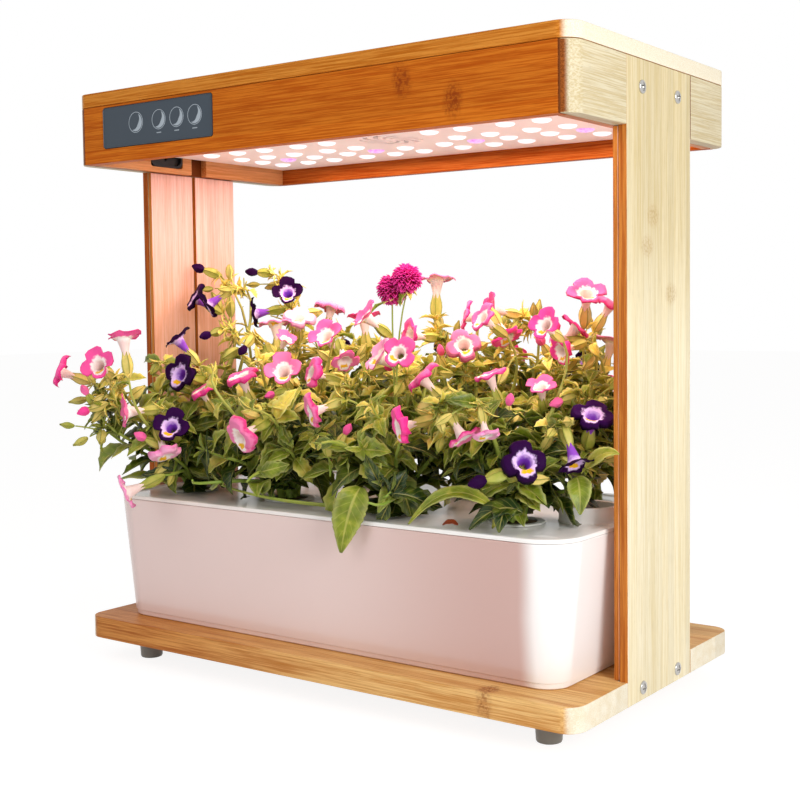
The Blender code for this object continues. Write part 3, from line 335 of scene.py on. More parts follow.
def seat(piece, body, slot, *nodes):
    """Lets a piece ride on a body and stand for CAD nodes, which are hidden. The slot is not used."""
    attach(piece, body)
    if nodes:
        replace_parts(piece, *nodes)
    return piece


def round_steps(count):
    """Equal steps of angle once round."""
    return np.linspace(0, 2 * math.pi, count, endpoint=False)


def on_circle(turn):
    """Points of the unit circle at the given angles from its first axis."""
    return np.stack((np.cos(turn), np.sin(turn)), -1)


def rounded(left, right, near, far, radius, steps=CORNER_STEPS):
    """A rectangle with round corners, anticlockwise from its near right corner."""
    angle = np.linspace(-math.pi / 2, 0, steps + 1)
    centres = np.array(((right - radius, near + radius), (right - radius, far - radius),
                        (left + radius, far - radius), (left + radius, near + radius)))
    turn = angle + np.arange(4)[:, None] * math.pi / 2
    return (centres[:, None] + radius * on_circle(turn)).reshape(-1, 2)


def drawn_in(outline, distance):
    """An outline moved inwards by a distance, each point along the mitre of its two edges."""
    ahead = np.roll(outline, -1, 0) - outline
    ahead /= np.linalg.norm(ahead, axis=1, keepdims=True)
    inward = np.stack((-ahead[:, 1], ahead[:, 0]), -1)
    before = np.roll(inward, 1, 0)
    mitre = (inward + before) / (1 + np.sum(inward * before, 1, keepdims=True))
    return outline + distance * mitre


def stand_up(outline, level, axis):
    """A flat outline at a level of the axis square to it, as points in space."""
    order = {2: (0, 1, 2), 1: (0, 2, 1), 0: (2, 0, 1)}[axis]
    flat = np.column_stack((outline, np.full(len(outline), level)))
    return flat[:, order]


def board_rings(outline, low, high, axis):
    """Rings of a board: its outline from low to high, with a quarter-round arris at both faces."""
    turn = np.linspace(0, math.pi / 2, ARRIS_STEPS + 1)
    insets = BOARD_ARRIS * (1 - np.sin(turn))
    rises = BOARD_ARRIS * (1 - np.cos(turn))
    levels = np.concatenate((low + rises, (high - rises)[::-1]))
    return [stand_up(drawn_in(outline, inset), level, axis)
            for inset, level in zip(np.concatenate((insets, insets[::-1])), levels)]


def board(name, outline, low, high, surface, axis=2):
    """A board with this outline between two levels of an axis."""
    return evened(put(name, board_rings(outline, low, high, axis), surface))


def plank(name, node_name, surface, radius=BOARD_ARRIS, steps=EDGE_STEPS):
    """A straight board that fills the box of its CAD node, with round upright edges."""
    low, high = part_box(node_name)
    return board(name, rounded(low.x, high.x, low.y, high.y, radius, steps), low.z, high.z, surface)


base_low, base_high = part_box("base_board")
post_low, post_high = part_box("right_post_outer_board")


def base_outline():
    """The base's round-cornered outline with a notch at each end, where the post's outer board sits."""
    corners = rounded(base_low.x, base_high.x, base_low.y, base_high.y, BOARD_CORNER_RADIUS)
    near = post_low.y - JOINT_GAP
    far = post_high.y + JOINT_GAP
    depth = post_low.x - JOINT_GAP
    notch = np.array(((base_high.x, near), (depth, near), (depth, far), (base_high.x, far)))
    first, middle, last = np.split(corners, (CORNER_STEPS + 1, 3 * (CORNER_STEPS + 1)))
    return np.concatenate((first, notch, middle, np.flip(notch, 0) * (-1, 1), last))


# The pale pair on faces turned towards X, the boards' ends, is painted light: it stands for the key lamp's
# light from the right on the amber bamboo. The base's drift, paler towards its right end, is a painted fall
# of that light from right to left.
PAINTED_LIT_END = ("#F9F1DE", "#EDDFC0")
base_bamboo = bamboo("base_bamboo", ("#DE9A50", "#AE622A"), PAINTED_LIT_END, 0, 1, knots=((0.14, -0.1),),
                     drift=(("#F6CB86", "#CE8E48"), (-0.16, 0.10)))
base = board("base_top_board", base_outline(), base_low.z, base_high.z, base_bamboo)
seat(base, "stand", "bamboo_amber", "base_board")


# Feet.
# Four tapered feet of dark rubber, moulded, each with a rounded lower edge, a shallow dish under its sole and
# a spigot pushed into the base.
FOOT_EDGE = 0.0012
FOOT_DISH = 0.0006
FOOT_SIDES = 40
SOLE_SHARE = 0.906
DISH_SHARES = (0.55, 0.62)
SPIGOT_SHARE = 0.35
PLASTIC_GRAIN = 0.000714
RUBBER_GRAIN = 0.00111
PLASTIC_RELIEF = 0.00004
CLOUD_SIZE = 0.040


def turned(name, profile, surface, centre, sides=FOOT_SIDES, loop=False):
    """A round piece: (radius, level) pairs carried round an upright axis through the centre."""
    circle = on_circle(round_steps(sides))
    rings = [stand_up(np.array(centre) + radius * circle, level, 2) for radius, level in profile]
    return put(name, rings, surface, loop=loop)


def moulded(name, colour, rough, grain=PLASTIC_GRAIN, relief=PLASTIC_RELIEF, shine=0.5, **values):
    """A moulded plastic or rubber: one colour, with a fine even texture that dulls and dents it a little."""
    made, tree, shader, place = coated(name, Specular_IOR_Level=shine, **values)
    fine = node(tree, "TexNoise", {}, Vector=place, Scale=1 / grain, Detail=2.0)
    broad = node(tree, "TexNoise", {}, Vector=place, Scale=1 / CLOUD_SIZE, Detail=2.0)
    tint = node(tree, "HueSaturation", {}, Value=node(tree, "MapRange", {}, broad, 0.3, 0.7, 0.95, 1.05),
                Color=colour)
    dull = node(tree, "MapRange", {}, fine, 0.3, 0.7, rough - 0.05, rough + 0.05)
    bump = node(tree, "Bump", {}, Strength=0.3, Distance=relief, Height=fine)
    feed(shader, Base_Color=tint, Roughness=dull, Normal=bump)
    return made


foot_rubber = moulded("moulded_rubber", "#86837C", 0.42, RUBBER_GRAIN)
for end in ("front", "rear"):
    for side in ("left", "right"):
        low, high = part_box(f"foot_{end}_{side}")
        middle = ((low.x + high.x) / 2, (low.y + high.y) / 2)
        top = (high.x - low.x) / 2
        sole = top * SOLE_SHARE
        spigot = top * SPIGOT_SHARE
        seat_level = base_low.z - JOINT_GAP
        profile = [(sole * DISH_SHARES[0], FOOT_DISH), (sole * DISH_SHARES[1], 0.0), (sole - FOOT_EDGE, 0.0),
                   (sole - FOOT_EDGE * 0.3, FOOT_EDGE * 0.3), (sole, FOOT_EDGE),
                   (top, seat_level - FOOT_EDGE / 2), (top - FOOT_EDGE / 3, seat_level), (spigot, seat_level),
                   (spigot, high.z)]
        seat(turned(f"rubber_foot_{end}_{side}", profile, foot_rubber, middle), "stand", "rubber",
             f"foot_{end}_{side}")


# Posts.
# Each post is a pale outer board of upright strips, let into the base and the hood, with amber edges, and
# two peach inner strips with a narrow cable groove between them. The outer board's pale faces are painted
# light from the right, and it is painted darker towards its top, for shade under the hood. The inner strips'
# peach, pinker near the top, is painted light from the lamp.
AMBER_EDGE = ("#D88A3C", "#AA5A1E")
# The left post's edges are painted browner than the right's: painted shade, as the left post stands farther
# from the key lamp.
SHADED_LEFT_EDGE = ("#BC6018", "#863A0A")
POST_KNOTS = ((0.3015, -0.0115), (0.2835, -0.0190), (0.256, 0.013))
# Painted light: the inner strips' peach, pinker and paler from 0.24 up to 0.31, stands for the lamp's pinkish
# light on them.
inner_bamboo = bamboo("inner_bamboo", ("#F6C4AE", "#E6A684"), AMBER_EDGE, 2, 1, 0.012, (), 1,
                      drift=(("#F8CEC6", "#E8B4A4"), (0.24, 0.31)))
for side, edge in (("left", SHADED_LEFT_EDGE), ("right", AMBER_EDGE)):
    # Painted light and shade: the pale faces stand for the light from the right, and the boards turn darker
    # from 0.21 up to 0.32, for shade under the hood.
    post_bamboo = bamboo(f"{side}_post_bamboo", ("#F8EDD0", "#E9D8AC"), edge, 2, 1, 0.0085, POST_KNOTS, 1,
                         ink=("#B08848", 0.45), drift=(("#E3D4AF", "#D4BF8D"), (0.21, 0.32)))
    seat(plank(f"{side}_post_board", f"{side}_post_outer_board", post_bamboo), "stand", "bamboo_pale",
         f"{side}_post_outer_board")
    for end in ("front", "rear"):
        seat(plank(f"{side}_post_{end}_inner", f"{side}_post_{end}_strip", inner_bamboo), "stand",
             "bamboo_inner", f"{side}_post_{end}_strip")


# Hood boards.
# A top board and four frame boards of amber bamboo. The pale colour of the side boards' outer faces and of
# the top and back boards' ends is painted light from the right, and the side boards' brown front edges and
# dark inner faces are painted shade. The front board has a pocket for the touch panel, the back board a hole
# for the power inlet, and short blocks inside take the posts' screws.
PANEL_POCKET_DEPTH = 0.0042
PANEL_CORNER_RADIUS = 0.002
INLET_HOLE_RADIUS = 0.0053
FACE_STEPS = 6
POCKET_STEPS = 4
HOOD_KNOTS = ((0.0865, 0.3825), (0.0880, 0.3770), (0.1232, 0.3680), (0.1226, 0.3625))
top_low, top_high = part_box("hood_top_board")
front_low, front_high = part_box("hood_front_board")
back_low, back_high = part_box("hood_back_board")
panel_low, panel_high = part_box("touch_panel")
inlet_low, inlet_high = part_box("power_inlet")
socket_low, socket_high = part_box("pump_socket")
side_board_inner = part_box("hood_right_side_board")[0].x
hood_bamboo = bamboo("hood_bamboo", ("#D97A20", "#BA560C"), ("#B4601E", "#843C0C"), 0, 2, 0.018, HOOD_KNOTS,
                     shine=0.05, cloudy=0.12, ink=("#8A380C", 0.64))
top_bamboo = bamboo("top_bamboo", ("#E0923A", "#BE6A18"), PAINTED_LIT_END, 0, 2, 0.0048, shine=0.05, cloudy=0.2)
# Painted light and shade: the side boards are pale on faces turned towards X, for the light from the right,
# and brown on faces turned to the front, for the shade there.
side_bamboo = bamboo("side_bamboo", ("#E1D6B8", "#CEBB90"), ("#A0581F", "#74380F"), 1, 2, 0.013, (), 1,
                     (0.74, 0.90), cloudy=0.15)
rear_bamboo = bamboo("rear_bamboo", ("#BE6A2C", "#98420E"), PAINTED_LIT_END, 0, 2, 0.018, shine=0.05, cloudy=0.3)
block_bamboo = bamboo("block_bamboo", ("#E09A5C", "#B8642A"), ("#E2A470", "#C47E48"), 1, 2)


def painted_inner_shade(made, colour, near, far):
    """Painted shade on the inner face of a side board: browner where it is nearer than a distance from the
    middle.
    """
    tree = made.node_tree
    shader = tree.nodes["Principled BSDF"]
    outside = shader.inputs["Base Color"].links[0].from_socket
    place = node(tree, "SeparateXYZ", {}, node(tree, "TexCoord", {}).outputs["Object"])
    share = node(tree, "MapRange", SMOOTH, node(tree, "Math", ABSOLUTE, place), near, far)
    feed(shader, Base_Color=node(tree, "Mix", MIX, share, colour, outside))


painted_inner_shade(side_bamboo, "#6E3814", side_board_inner + JOINT_GAP, side_board_inner + 4 * JOINT_GAP)
seat(plank("hood_lid_board", "hood_top_board", top_bamboo, BOARD_CORNER_RADIUS, CORNER_STEPS), "stand",
     "bamboo_amber", "hood_top_board")


def cut(piece, cutters):
    """Takes closed cutter pieces out of a piece for good."""
    for cutter in cutters:
        modifier = piece.modifiers.new("cut", "BOOLEAN")
        modifier.material_mode = "INDEX"
        modifier.operation = "DIFFERENCE"
        modifier.solver = "EXACT"
        modifier.object = cutter
    graph = bpy.context.evaluated_depsgraph_get()
    mesh = bpy.data.meshes.new_from_object(piece.evaluated_get(graph))
    piece.modifiers.clear()
    piece.data = mesh
    mesh.set_sharp_from_angle(angle=SHARP_ANGLE)
    for cutter in cutters:
        bpy.data.objects.remove(cutter)


def side_outline(sign):
    """A side board seen from above: round outer corners, a notch for the post and a straight inner face."""
    inner = front_high.x + JOINT_GAP
    outer = top_high.x
    radius = BOARD_CORNER_RADIUS
    start = math.acos((inner - (outer - radius)) / radius)
    arc = radius * on_circle(np.linspace(-start, 0, CORNER_STEPS + 1))
    near = post_low.y - JOINT_GAP
    far = post_high.y + JOINT_GAP
    depth = post_low.x - JOINT_GAP
    notch = np.array(((outer, near), (depth, near), (depth, far), (outer, far)))
    near_arc = (outer - radius, top_low.y + radius) + arc
    far_arc = (outer - radius, top_high.y - radius) + (arc * (1, -1))[::-1]
    path = np.concatenate((near_arc, notch, far_arc))
    return path if sign > 0 else (path * (-1, 1))[::-1]


for sign, side in ((-1, "left"), (1, "right")):
    low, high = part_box(f"hood_{side}_side_board")
    seat(board(f"hood_{side}_frame_board", side_outline(sign), low.z, high.z, side_bamboo), "stand",
         "bamboo_pale", f"hood_{side}_side_board")
    for end in ("front", "rear"):
        block = plank(f"hood_{side}_{end}_inner_block", f"hood_{side}_{end}_block", block_bamboo)
        if (sign, end) == (-1, "front"):
            pocket = rounded(socket_low.y - JOINT_GAP, socket_high.y + JOINT_GAP, socket_low.z - JOINT_GAP,
                             socket_high.z + JOINT_GAP, PANEL_CORNER_RADIUS, POCKET_STEPS)
            block_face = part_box(f"hood_{side}_{end}_block")[1].x
            pocket_levels = (socket_low.x - JOINT_GAP, block_face + BOARD_ARRIS)
            cut(block, [put("pocket", [stand_up(pocket, level, 0) for level in pocket_levels], block_bamboo)])
        seat(block, "stand", "bamboo_inner", f"hood_{side}_{end}_block")

outline = rounded(front_low.x, front_high.x, front_low.z, front_high.z, BOARD_ARRIS, FACE_STEPS)
pocket = rounded(panel_low.x - JOINT_GAP, panel_high.x + JOINT_GAP, panel_low.z - JOINT_GAP,
                 panel_high.z + JOINT_GAP, PANEL_CORNER_RADIUS, FACE_STEPS)
rings = board_rings(outline, front_low.y, front_high.y, 1)[::-1]
rings += [stand_up(pocket, level, 1) for level in (front_low.y, front_low.y + PANEL_POCKET_DEPTH)]
seat(evened(put("hood_face_board", rings, hood_bamboo)), "stand", "bamboo_amber", "hood_front_board")

outline = rounded(back_low.x, back_high.x, back_low.z, back_high.z, BOARD_ARRIS, FACE_STEPS)
angle = (np.arange(len(outline)) + 0.5) / len(outline) * 2 * math.pi - math.pi / 2
inlet_middle = np.array(((inlet_low.x + inlet_high.x) / 2, (inlet_low.z + inlet_high.z) / 2))
hole = inlet_middle + INLET_HOLE_RADIUS * on_circle(angle)
rings = board_rings(outline, back_low.y, back_high.y, 1)
rings += [stand_up(hole, level, 1) for level in (back_high.y, back_low.y)]
seat(evened(put("hood_rear_board", rings, rear_bamboo, loop=True)), "stand", "bamboo_amber",
     "hood_back_board")


# Screws.
# Bright nickel-plated round-head screws with a cross recess. Each pulls a post against the base or against a
# block of the hood.
SCREW_SHANK_RADIUS = 0.0019
SCREW_HEAD_HEIGHT = 0.0015
RECESS_REACH = 0.0023
RECESS_HALF_WIDTH = 0.0006
RECESS_DEPTH = 0.0012
RIM_SHARE = 0.30
HEAD_SIDES = 64
HEAD_RINGS = np.array((0, 0.5, 0.9, 1.0, 1.3, 1.7, 2.0, 2.2, 2.7, 3.2, 3.6, 3.85, 4)) / 4
POLISH_GRAIN = 0.0004


def metal(name, colour, rough):
    """Plated steel: a mirror-like metal with fine polishing marks that dull it unevenly."""
    made, tree, shader, place = coated(name, Metallic=1.0)
    marks = node(tree, "TexNoise", {}, Vector=place, Scale=1 / POLISH_GRAIN, Detail=2.0)
    dull = node(tree, "MapRange", {}, marks, 0.3, 0.7, rough - 0.06, rough + 0.08)
    value = node(tree, "MapRange", {}, marks, 0.3, 0.7, 0.94, 1.0)
    feed(shader, Roughness=dull, Base_Color=node(tree, "HueSaturation", {}, Value=value, Color=colour))
    return made


def screw(name, low, high, sign, surface):
    """A screw along X. The head's height falls from its middle to its rim by the root of one less the cube
    of the reach, and a cross of two bars is sunk into it; the shank runs from under the head to the tip."""
    radius = (high.y - low.y) / 2
    reach = (HEAD_RINGS * radius)[:, None]
    turn = round_steps(HEAD_SIDES)
    across = reach * np.cos(turn)
    rise = reach * np.sin(turn)
    dome = SCREW_HEAD_HEIGHT * (RIM_SHARE + (1 - RIM_SHARE) * np.sqrt(1 - (reach / radius) ** 3))
    sunk = (np.minimum(np.abs(across), np.abs(rise)) < RECESS_HALF_WIDTH) & (reach < RECESS_REACH)
    post_face = sign * post_high.x
    face = post_face + sign * (dome - RECESS_DEPTH * sunk)
    middle = np.array(((low.y + high.y) / 2, (low.z + high.z) / 2))
    head = np.stack((face, middle[0] + across, middle[1] + rise), -1)
    tip = low.x if sign > 0 else high.x
    back = [stand_up(middle + r * on_circle(turn), level, 0)
            for r, level in ((radius, post_face), (SCREW_SHANK_RADIUS, post_face), (SCREW_SHANK_RADIUS, tip))]
    return put(name, [*head, *back], surface)


screw_steel = metal("nickel_plated_steel", "#C2C0BC", 0.20)
for sign, side in ((-1, "left"), (1, "right")):
    for end in ("front", "rear"):
        for part in ("base", "hood"):
            low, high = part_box(f"{side}_{end}_{part}_screw")
            seat(screw(f"{side}_{end}_{part}_bolt", low, high, sign, screw_steel), "stand", "screw_steel",
                 f"{side}_{end}_{part}_screw")


# Touch panel.
# A slate-coloured plate of satin acrylic in a pocket of the hood's front board, with four round touch keys
# printed on it in pale grey and the touch board behind it.
KEY_PLACES = ((-0.1375, 0.0070), (-0.1151, 0.0066), (-0.0981, 0.0066), (-0.0812, 0.0066))
KEY_LEVEL = 0.3765
PRINT_THICKNESS = 0.00004
PRINT_LINE = 0.0004
KEY_SIDES = 40
CRESCENT_SWEEP = np.radians((-125, 65))
CRESCENT_SHARE = 0.86
CRESCENT_SWELL = 0.52
DASH_HALF_LENGTH = 0.0022
DASH_HEIGHT = 0.0006
DASH_DROP = 0.0090
SATIN_GRAIN = 0.000556
SATIN_RELIEF = 0.00001
panel_slate = moulded("satin_acrylic", "#3B4651", 0.34, SATIN_GRAIN, SATIN_RELIEF, 0.3)
key_print = moulded("pale_print", "#A7B2BC", 0.45, SATIN_GRAIN, SATIN_RELIEF)
outline = rounded(panel_low.x, panel_high.x, panel_low.z, panel_high.z, PANEL_CORNER_RADIUS, FACE_STEPS)
panel = board("key_panel", outline, panel_high.y, panel_low.y, panel_slate, 1)
seat(panel, "stand", "panel_slate", "touch_panel")


def print_on_panel(name, near, far):
    """A print of even thickness on the panel between two lines of (x, z) points of equal count."""
    proud = panel_low.y - PRINT_THICKNESS
    corners = ((near, panel_low.y), (near, proud), (far, proud), (far, panel_low.y))
    strip = np.stack([stand_up(line, level, 1) for line, level in corners], 1)
    seat(put(name, strip, key_print), "stand", "panel_slate")


ring = on_circle(np.linspace(0, 2 * math.pi, KEY_SIDES + 1))
arc = on_circle(np.linspace(*CRESCENT_SWEEP, KEY_SIDES // 2))
swell = CRESCENT_SWELL * np.sin(np.linspace(0.02, math.pi - 0.02, len(arc)))[:, None]
for number, (x, radius) in enumerate(KEY_PLACES, 1):
    centre = np.array((x, KEY_LEVEL))
    print_on_panel(f"key_ring_{number}", centre + radius * ring, centre + (radius - PRINT_LINE) * ring)
    print_on_panel(f"key_crescent_{number}", centre + radius * CRESCENT_SHARE * arc,
                   centre + radius * (CRESCENT_SHARE - swell) * arc)
for number, (x, radius) in enumerate(KEY_PLACES[1:], 1):
    dash = np.array((x, KEY_LEVEL - DASH_DROP)) + ((-DASH_HALF_LENGTH, 0), (DASH_HALF_LENGTH, 0))
    print_on_panel(f"key_dash_{number}", dash, dash + (0, DASH_HEIGHT))


def dress(surface, *names):
    """Gives CAD nodes that stay in view a finished material in place of their plain one."""
    for name in names:
        for material_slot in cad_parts[name].material_slots:
            material_slot.material = surface


LAMINATE_GRAIN = 0.000833
dress(moulded("glass_laminate", "#2F6B4A", 0.40, LAMINATE_GRAIN), "touch_board")


# Lamp.
# A drilled white plate with round lens holes and a swirl of vent slots. Clear domed lenses sit in the holes
# under a lens sheet, in modules of three by three, with the lamp board above. The light that the diodes throw
# down is one even warm white source right under the plate.
LENS_RADIUS = 0.0062
LENS_BULGE = 0.0020
LENS_TIP = 0.0002
LENS_SIDES = 20
LENS_RINGS = 5
LENS_CLOUD = 0.002381
POWDER_GRAIN = 0.000667
SHEET_GRAIN = 0.00111
MODULE_PLACES_X = (-0.1285, -0.0435, 0.0435, 0.1285)
MODULE_PLACES_Y = (-0.039, 0.039)
LENS_PITCH = (0.0265, 0.023)
VENT_REACH = 0.0284
PLATE_PAINTED_GLOW = 0.15
GROW_LIGHT_SIZE = (0.33, 0.165)
GROW_LIGHT_WATTS = 0.86
GROW_LIGHT_X = 0.024
plate_low, plate_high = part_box("led_plate")
lamp_middle = (plate_low.y + plate_high.y) / 2
# The plate's faint emission is painted light: the plate is no lamp, and the glow brightens its shaded
# underside.
dress(moulded("powder_coated_plate", "#F8E4DE", 0.45, POWDER_GRAIN, Emission_Color="#FFE9E6",
              Emission_Strength=PLATE_PAINTED_GLOW), "led_plate")
dress(moulded("lamp_laminate", "#E6E8E4", 0.50, SHEET_GRAIN), "led_board")


def lit_lens(name, colour, glow, strength):
    """A clear acrylic dome over a lit diode: pale, glossy and glowing, clouded between two tints."""
    made, tree, shader, place = coated(name, Roughness=0.08, IOR=1.49, Emission_Strength=strength)
    cloud = node(tree, "TexNoise", {}, Vector=place, Scale=1 / LENS_CLOUD, Detail=2.0)
    tint = node(tree, "Mix", MIX, node(tree, "MapRange", {}, cloud, 0.35, 0.65), colour, glow)
    feed(shader, Base_Color=tint, Emission_Color=tint)
    return made


def lens_places():
    """Centres of the lenses: three by three in each module, none where the vent is."""
    steps = np.array([(i, j) for i in (-1, 0, 1) for j in (-1, 0, 1)])
    modules = np.array([(x, y + lamp_middle) for x in MODULE_PLACES_X for y in MODULE_PLACES_Y])
    places = (modules[:, None] + steps * LENS_PITCH).reshape(-1, 2)
    middles = np.tile((steps == 0).all(1), len(modules))
    clear = np.hypot(places[:, 0], places[:, 1] - lamp_middle) > VENT_REACH
    return places[clear], middles[clear]


def domes(name, places, surface):
    """Lens caps: a quarter circle turned round each centre, flat above and bulging below the plate."""
    rise = np.linspace(0, math.pi / 2, LENS_RINGS, endpoint=False)
    reach = np.array((LENS_RADIUS, *LENS_RADIUS * np.cos(rise), LENS_TIP))
    level = np.array((plate_high.z - PRINT_THICKNESS, *plate_low.z - LENS_BULGE * np.sin(rise),
                      plate_low.z - LENS_BULGE))
    flat = places[:, None, None] + reach[:, None, None] * on_circle(round_steps(LENS_SIDES))
    heights = np.broadcast_to(level[:, None, None], flat.shape[:-1] + (1,))
    return put(name, np.concatenate((flat, heights), -1), surface)


places, middles = lens_places()
white_lens = lit_lens("white_lens", "#FFFFFF", "#F1E3F4", 0.85)
violet_lens = lit_lens("violet_lens", "#E9B7F0", "#C98BE6", 0.70)
seat(domes("white_lens_domes", places[~middles], white_lens), "stand", "lens")
seat(domes("violet_lens_domes", places[middles], violet_lens), "stand", "lens")
dress(moulded("tinted_acrylic_sheet", "#100A09", 0.30, SHEET_GRAIN), "lens_sheet")
grow_light = bpy.data.objects.new("grow_light", bpy.data.lights.new("grow_light", "AREA"))
grow_light.data.shape = "RECTANGLE"
grow_light.data.size = GROW_LIGHT_SIZE[0]
grow_light.data.size_y = GROW_LIGHT_SIZE[1]
grow_light.data.energy = GROW_LIGHT_WATTS
grow_light.data.color = linear("#FFE3D2")[:3]
grow_light.location = (GROW_LIGHT_X, lamp_middle, plate_low.z - LENS_BULGE * 1.5)
grow_light.visible_camera = False
grow_light.visible_glossy = False
scene.collection.objects.link(grow_light)


# Fan, control box and sockets.
# Inside the hood, of black moulded plastic: a fan over the vent, the control box on the lamp board, the
# power inlet in the back board and the pump's socket in a block of the hood.
black_plastic = moulded("black_nylon", "#161617", 0.40)
dress(black_plastic, "fan_frame", "fan_rotor", "control_box", "power_inlet", "pump_socket", "pump_housing",
      "pump_cover", "pump_impeller")


# Tank.
# A white gloss tub, injection moulded with drafted walls and an even thickness, on a low plinth that sits on
# the base board.
TANK_DRAFT = 0.0075
TANK_CORNER_RADIUS = 0.024
TANK_WALL = 0.0022
TANK_FLOOR_THICKNESS = 0.0022
TANK_EDGE = 0.0006
PLINTH_HEIGHT = 0.0035
PLINTH_INSET = 0.0007
WALL_RINGS = 8
SINK_SIZE = 0.01667
SINK_RELIEF = 0.00012
DRIFT_SIZE = 0.1111
DRIFT_REACH = 0.003
tank_low, tank_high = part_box("water_tank")


def tank_ring(inset, level):
    """The tank's round-cornered rim outline, drawn in by an inset, at a level."""
    outline = rounded(tank_low.x + inset, tank_high.x - inset, tank_low.y + inset, tank_high.y - inset,
                      TANK_CORNER_RADIUS - inset)
    return stand_up(outline, level, 2)


def tank_draft(level):
    """How far the wall is drawn in at a level: nothing at the rim, the full draft at the bottom."""
    return TANK_DRAFT * (tank_high.z - level) / (tank_high.z - tank_low.z)


def gloss_plastic(name, colour, *shades, shine=0.5, coat=0.25):
    """Gloss moulded plastic: a soft mirror over a milky body. Its tint changes along X, which paints light
    and
    shade on it: each further shade is a colour and the two places between which it takes over."""
    made = moulded(name, colour, 0.20, SINK_SIZE, SINK_RELIEF, shine, Coat_Weight=coat, Coat_Roughness=0.12)
    tree = made.node_tree
    place = node(tree, "TexCoord", {}).outputs["Object"]
    broad = node(tree, "TexNoise", {}, Vector=place, Scale=1 / DRIFT_SIZE, Detail=1.0)
    wander = node(tree, "MapRange", {}, broad, 0.3, 0.7, -DRIFT_REACH, DRIFT_REACH)
    across = node(tree, "Math", {"operation": "ADD"}, node(tree, "SeparateXYZ", {}, place), wander)
    for shade, start, stop in shades:
        share = node(tree, "MapRange", SMOOTH, across, start, stop)
        colour = node(tree, "Mix", MIX, share, colour, shade)
    feed(tree.nodes["Principled BSDF"], Base_Color=colour)
    return made


# Painted light and shade: the pinkish grey front, darker from X 0 to 0.15, stands for warm shade and dim
# reflections on it, and the near white from X 0.155 on stands for the key lamp's light on the right corner.
tank_plastic = gloss_plastic("gloss_polypropylene", "#EDD5D0", ("#D2AEA6", 0.0, 0.15),
                             ("#FCF8F7", 0.155, 0.168))
step = tank_low.z + PLINTH_HEIGHT
floor_level = tank_low.z + PLINTH_HEIGHT + TANK_FLOOR_THICKNESS
plinth_inset = tank_draft(tank_low.z) + PLINTH_INSET
rings = [tank_ring(plinth_inset + TANK_EDGE, tank_low.z), tank_ring(plinth_inset, tank_low.z + TANK_EDGE),
         tank_ring(tank_draft(step) + PLINTH_INSET, step), tank_ring(tank_draft(step), step + TANK_EDGE / 2)]
rings += [tank_ring(tank_draft(level), level)
          for level in np.linspace(step + 4 * TANK_EDGE, tank_high.z - TANK_EDGE, WALL_RINGS)]
rings += [tank_ring(TANK_EDGE, tank_high.z), tank_ring(TANK_WALL, tank_high.z),
          tank_ring(TANK_WALL + tank_draft(floor_level), floor_level)]
seat(evened(put("white_tub", rings, tank_plastic)), "tank", "tank_white", "water_tank")


# Lid.
# A white lid with a raised border, a sunk middle, eight planting holes, a shallow finger mark and a round
# collar through which the tank is filled.
LID_EDGE = 0.0008
LID_BORDER = 0.006
LID_RECESS = 0.0008
SKIRT_DEPTH = 0.005
SKIRT_THICKNESS = 0.0015
SKIRT_CLEARANCE = 0.0006
LID_THICKNESS = 0.0025
LID_SHINE = 0.2
COLLAR_PLACE = (0.15795, -0.015)
COLLAR_RADIUS = 0.018
COLLAR_WALL = 0.002
COLLAR_HEIGHT = 0.010
COLLAR_SIDES = 80
HOLE_RADIUS = 0.0151
POD_COLUMNS = (-0.14995, -0.05795, 0.03405, 0.12605)
POD_ROWS = {"front": -0.0465, "rear": 0.0415}
FINGER_PLACE = (0.1650, -0.0786)
FINGER_RADII = np.array((0.0095, 0.0050))
FINGER_DEPTH = 0.0007
FINGER_SHARES = ((0.02, -1.0), (0.45, -0.90), (0.78, -0.55), (1.0, 0.0), (1.06, 1.2))
lid_bottom = tank_high.z + JOINT_GAP
lid_top = lid_bottom + LID_THICKNESS
lid_surface = lid_top - LID_RECESS
skirt_outer = TANK_WALL + SKIRT_CLEARANCE
skirt_inner = skirt_outer + SKIRT_THICKNESS
skirt_bottom = lid_bottom - SKIRT_DEPTH
rings = [tank_ring(skirt_inner, lid_bottom), tank_ring(skirt_inner + tank_draft(skirt_bottom), skirt_bottom),
         tank_ring(skirt_outer + tank_draft(skirt_bottom), skirt_bottom), tank_ring(skirt_outer, lid_bottom),
         tank_ring(LID_EDGE / 3, lid_bottom), tank_ring(0, lid_bottom + LID_EDGE / 3)]
rings += [tank_ring(LID_EDGE * (1 - math.cos(turn)), lid_top - LID_EDGE * (1 - math.sin(turn)))
          for turn in np.linspace(0, math.pi / 2, ARRIS_STEPS)]
rings += [tank_ring(LID_BORDER, lid_top), tank_ring(LID_BORDER + LID_RECESS / 3, lid_top - LID_RECESS / 8),
          tank_ring(LID_BORDER + LID_RECESS, lid_surface)]
# Painted light: the lid turns whiter from X -0.15 to 0.05, for the light from the right.
lid_plastic = gloss_plastic("gloss_lid_polypropylene", "#F6EAE4", ("#FDFBF8", -0.15, 0.05), shine=LID_SHINE,
                            coat=0.0)
lid = put("white_lid", rings, lid_plastic)
bore = COLLAR_RADIUS - COLLAR_WALL
holes = [((x, y), HOLE_RADIUS) for x in POD_COLUMNS for y in POD_ROWS.values()]
holes.append((COLLAR_PLACE, bore))
cutters = [turned("cutter", [(radius, skirt_bottom), (radius, lid_top + LID_THICKNESS)], lid_plastic, place)
           for place, radius in holes]
dent = [(FINGER_RADII * reach, lid_surface + FINGER_DEPTH * level) for reach, level in FINGER_SHARES]
cutters.append(turned("cutter", dent, lid_plastic, FINGER_PLACE, COLLAR_SIDES))
cut(lid, cutters)
seat(evened(lid), "lid", "tank_white", "tank_lid")
collar_top = lid_surface + COLLAR_HEIGHT
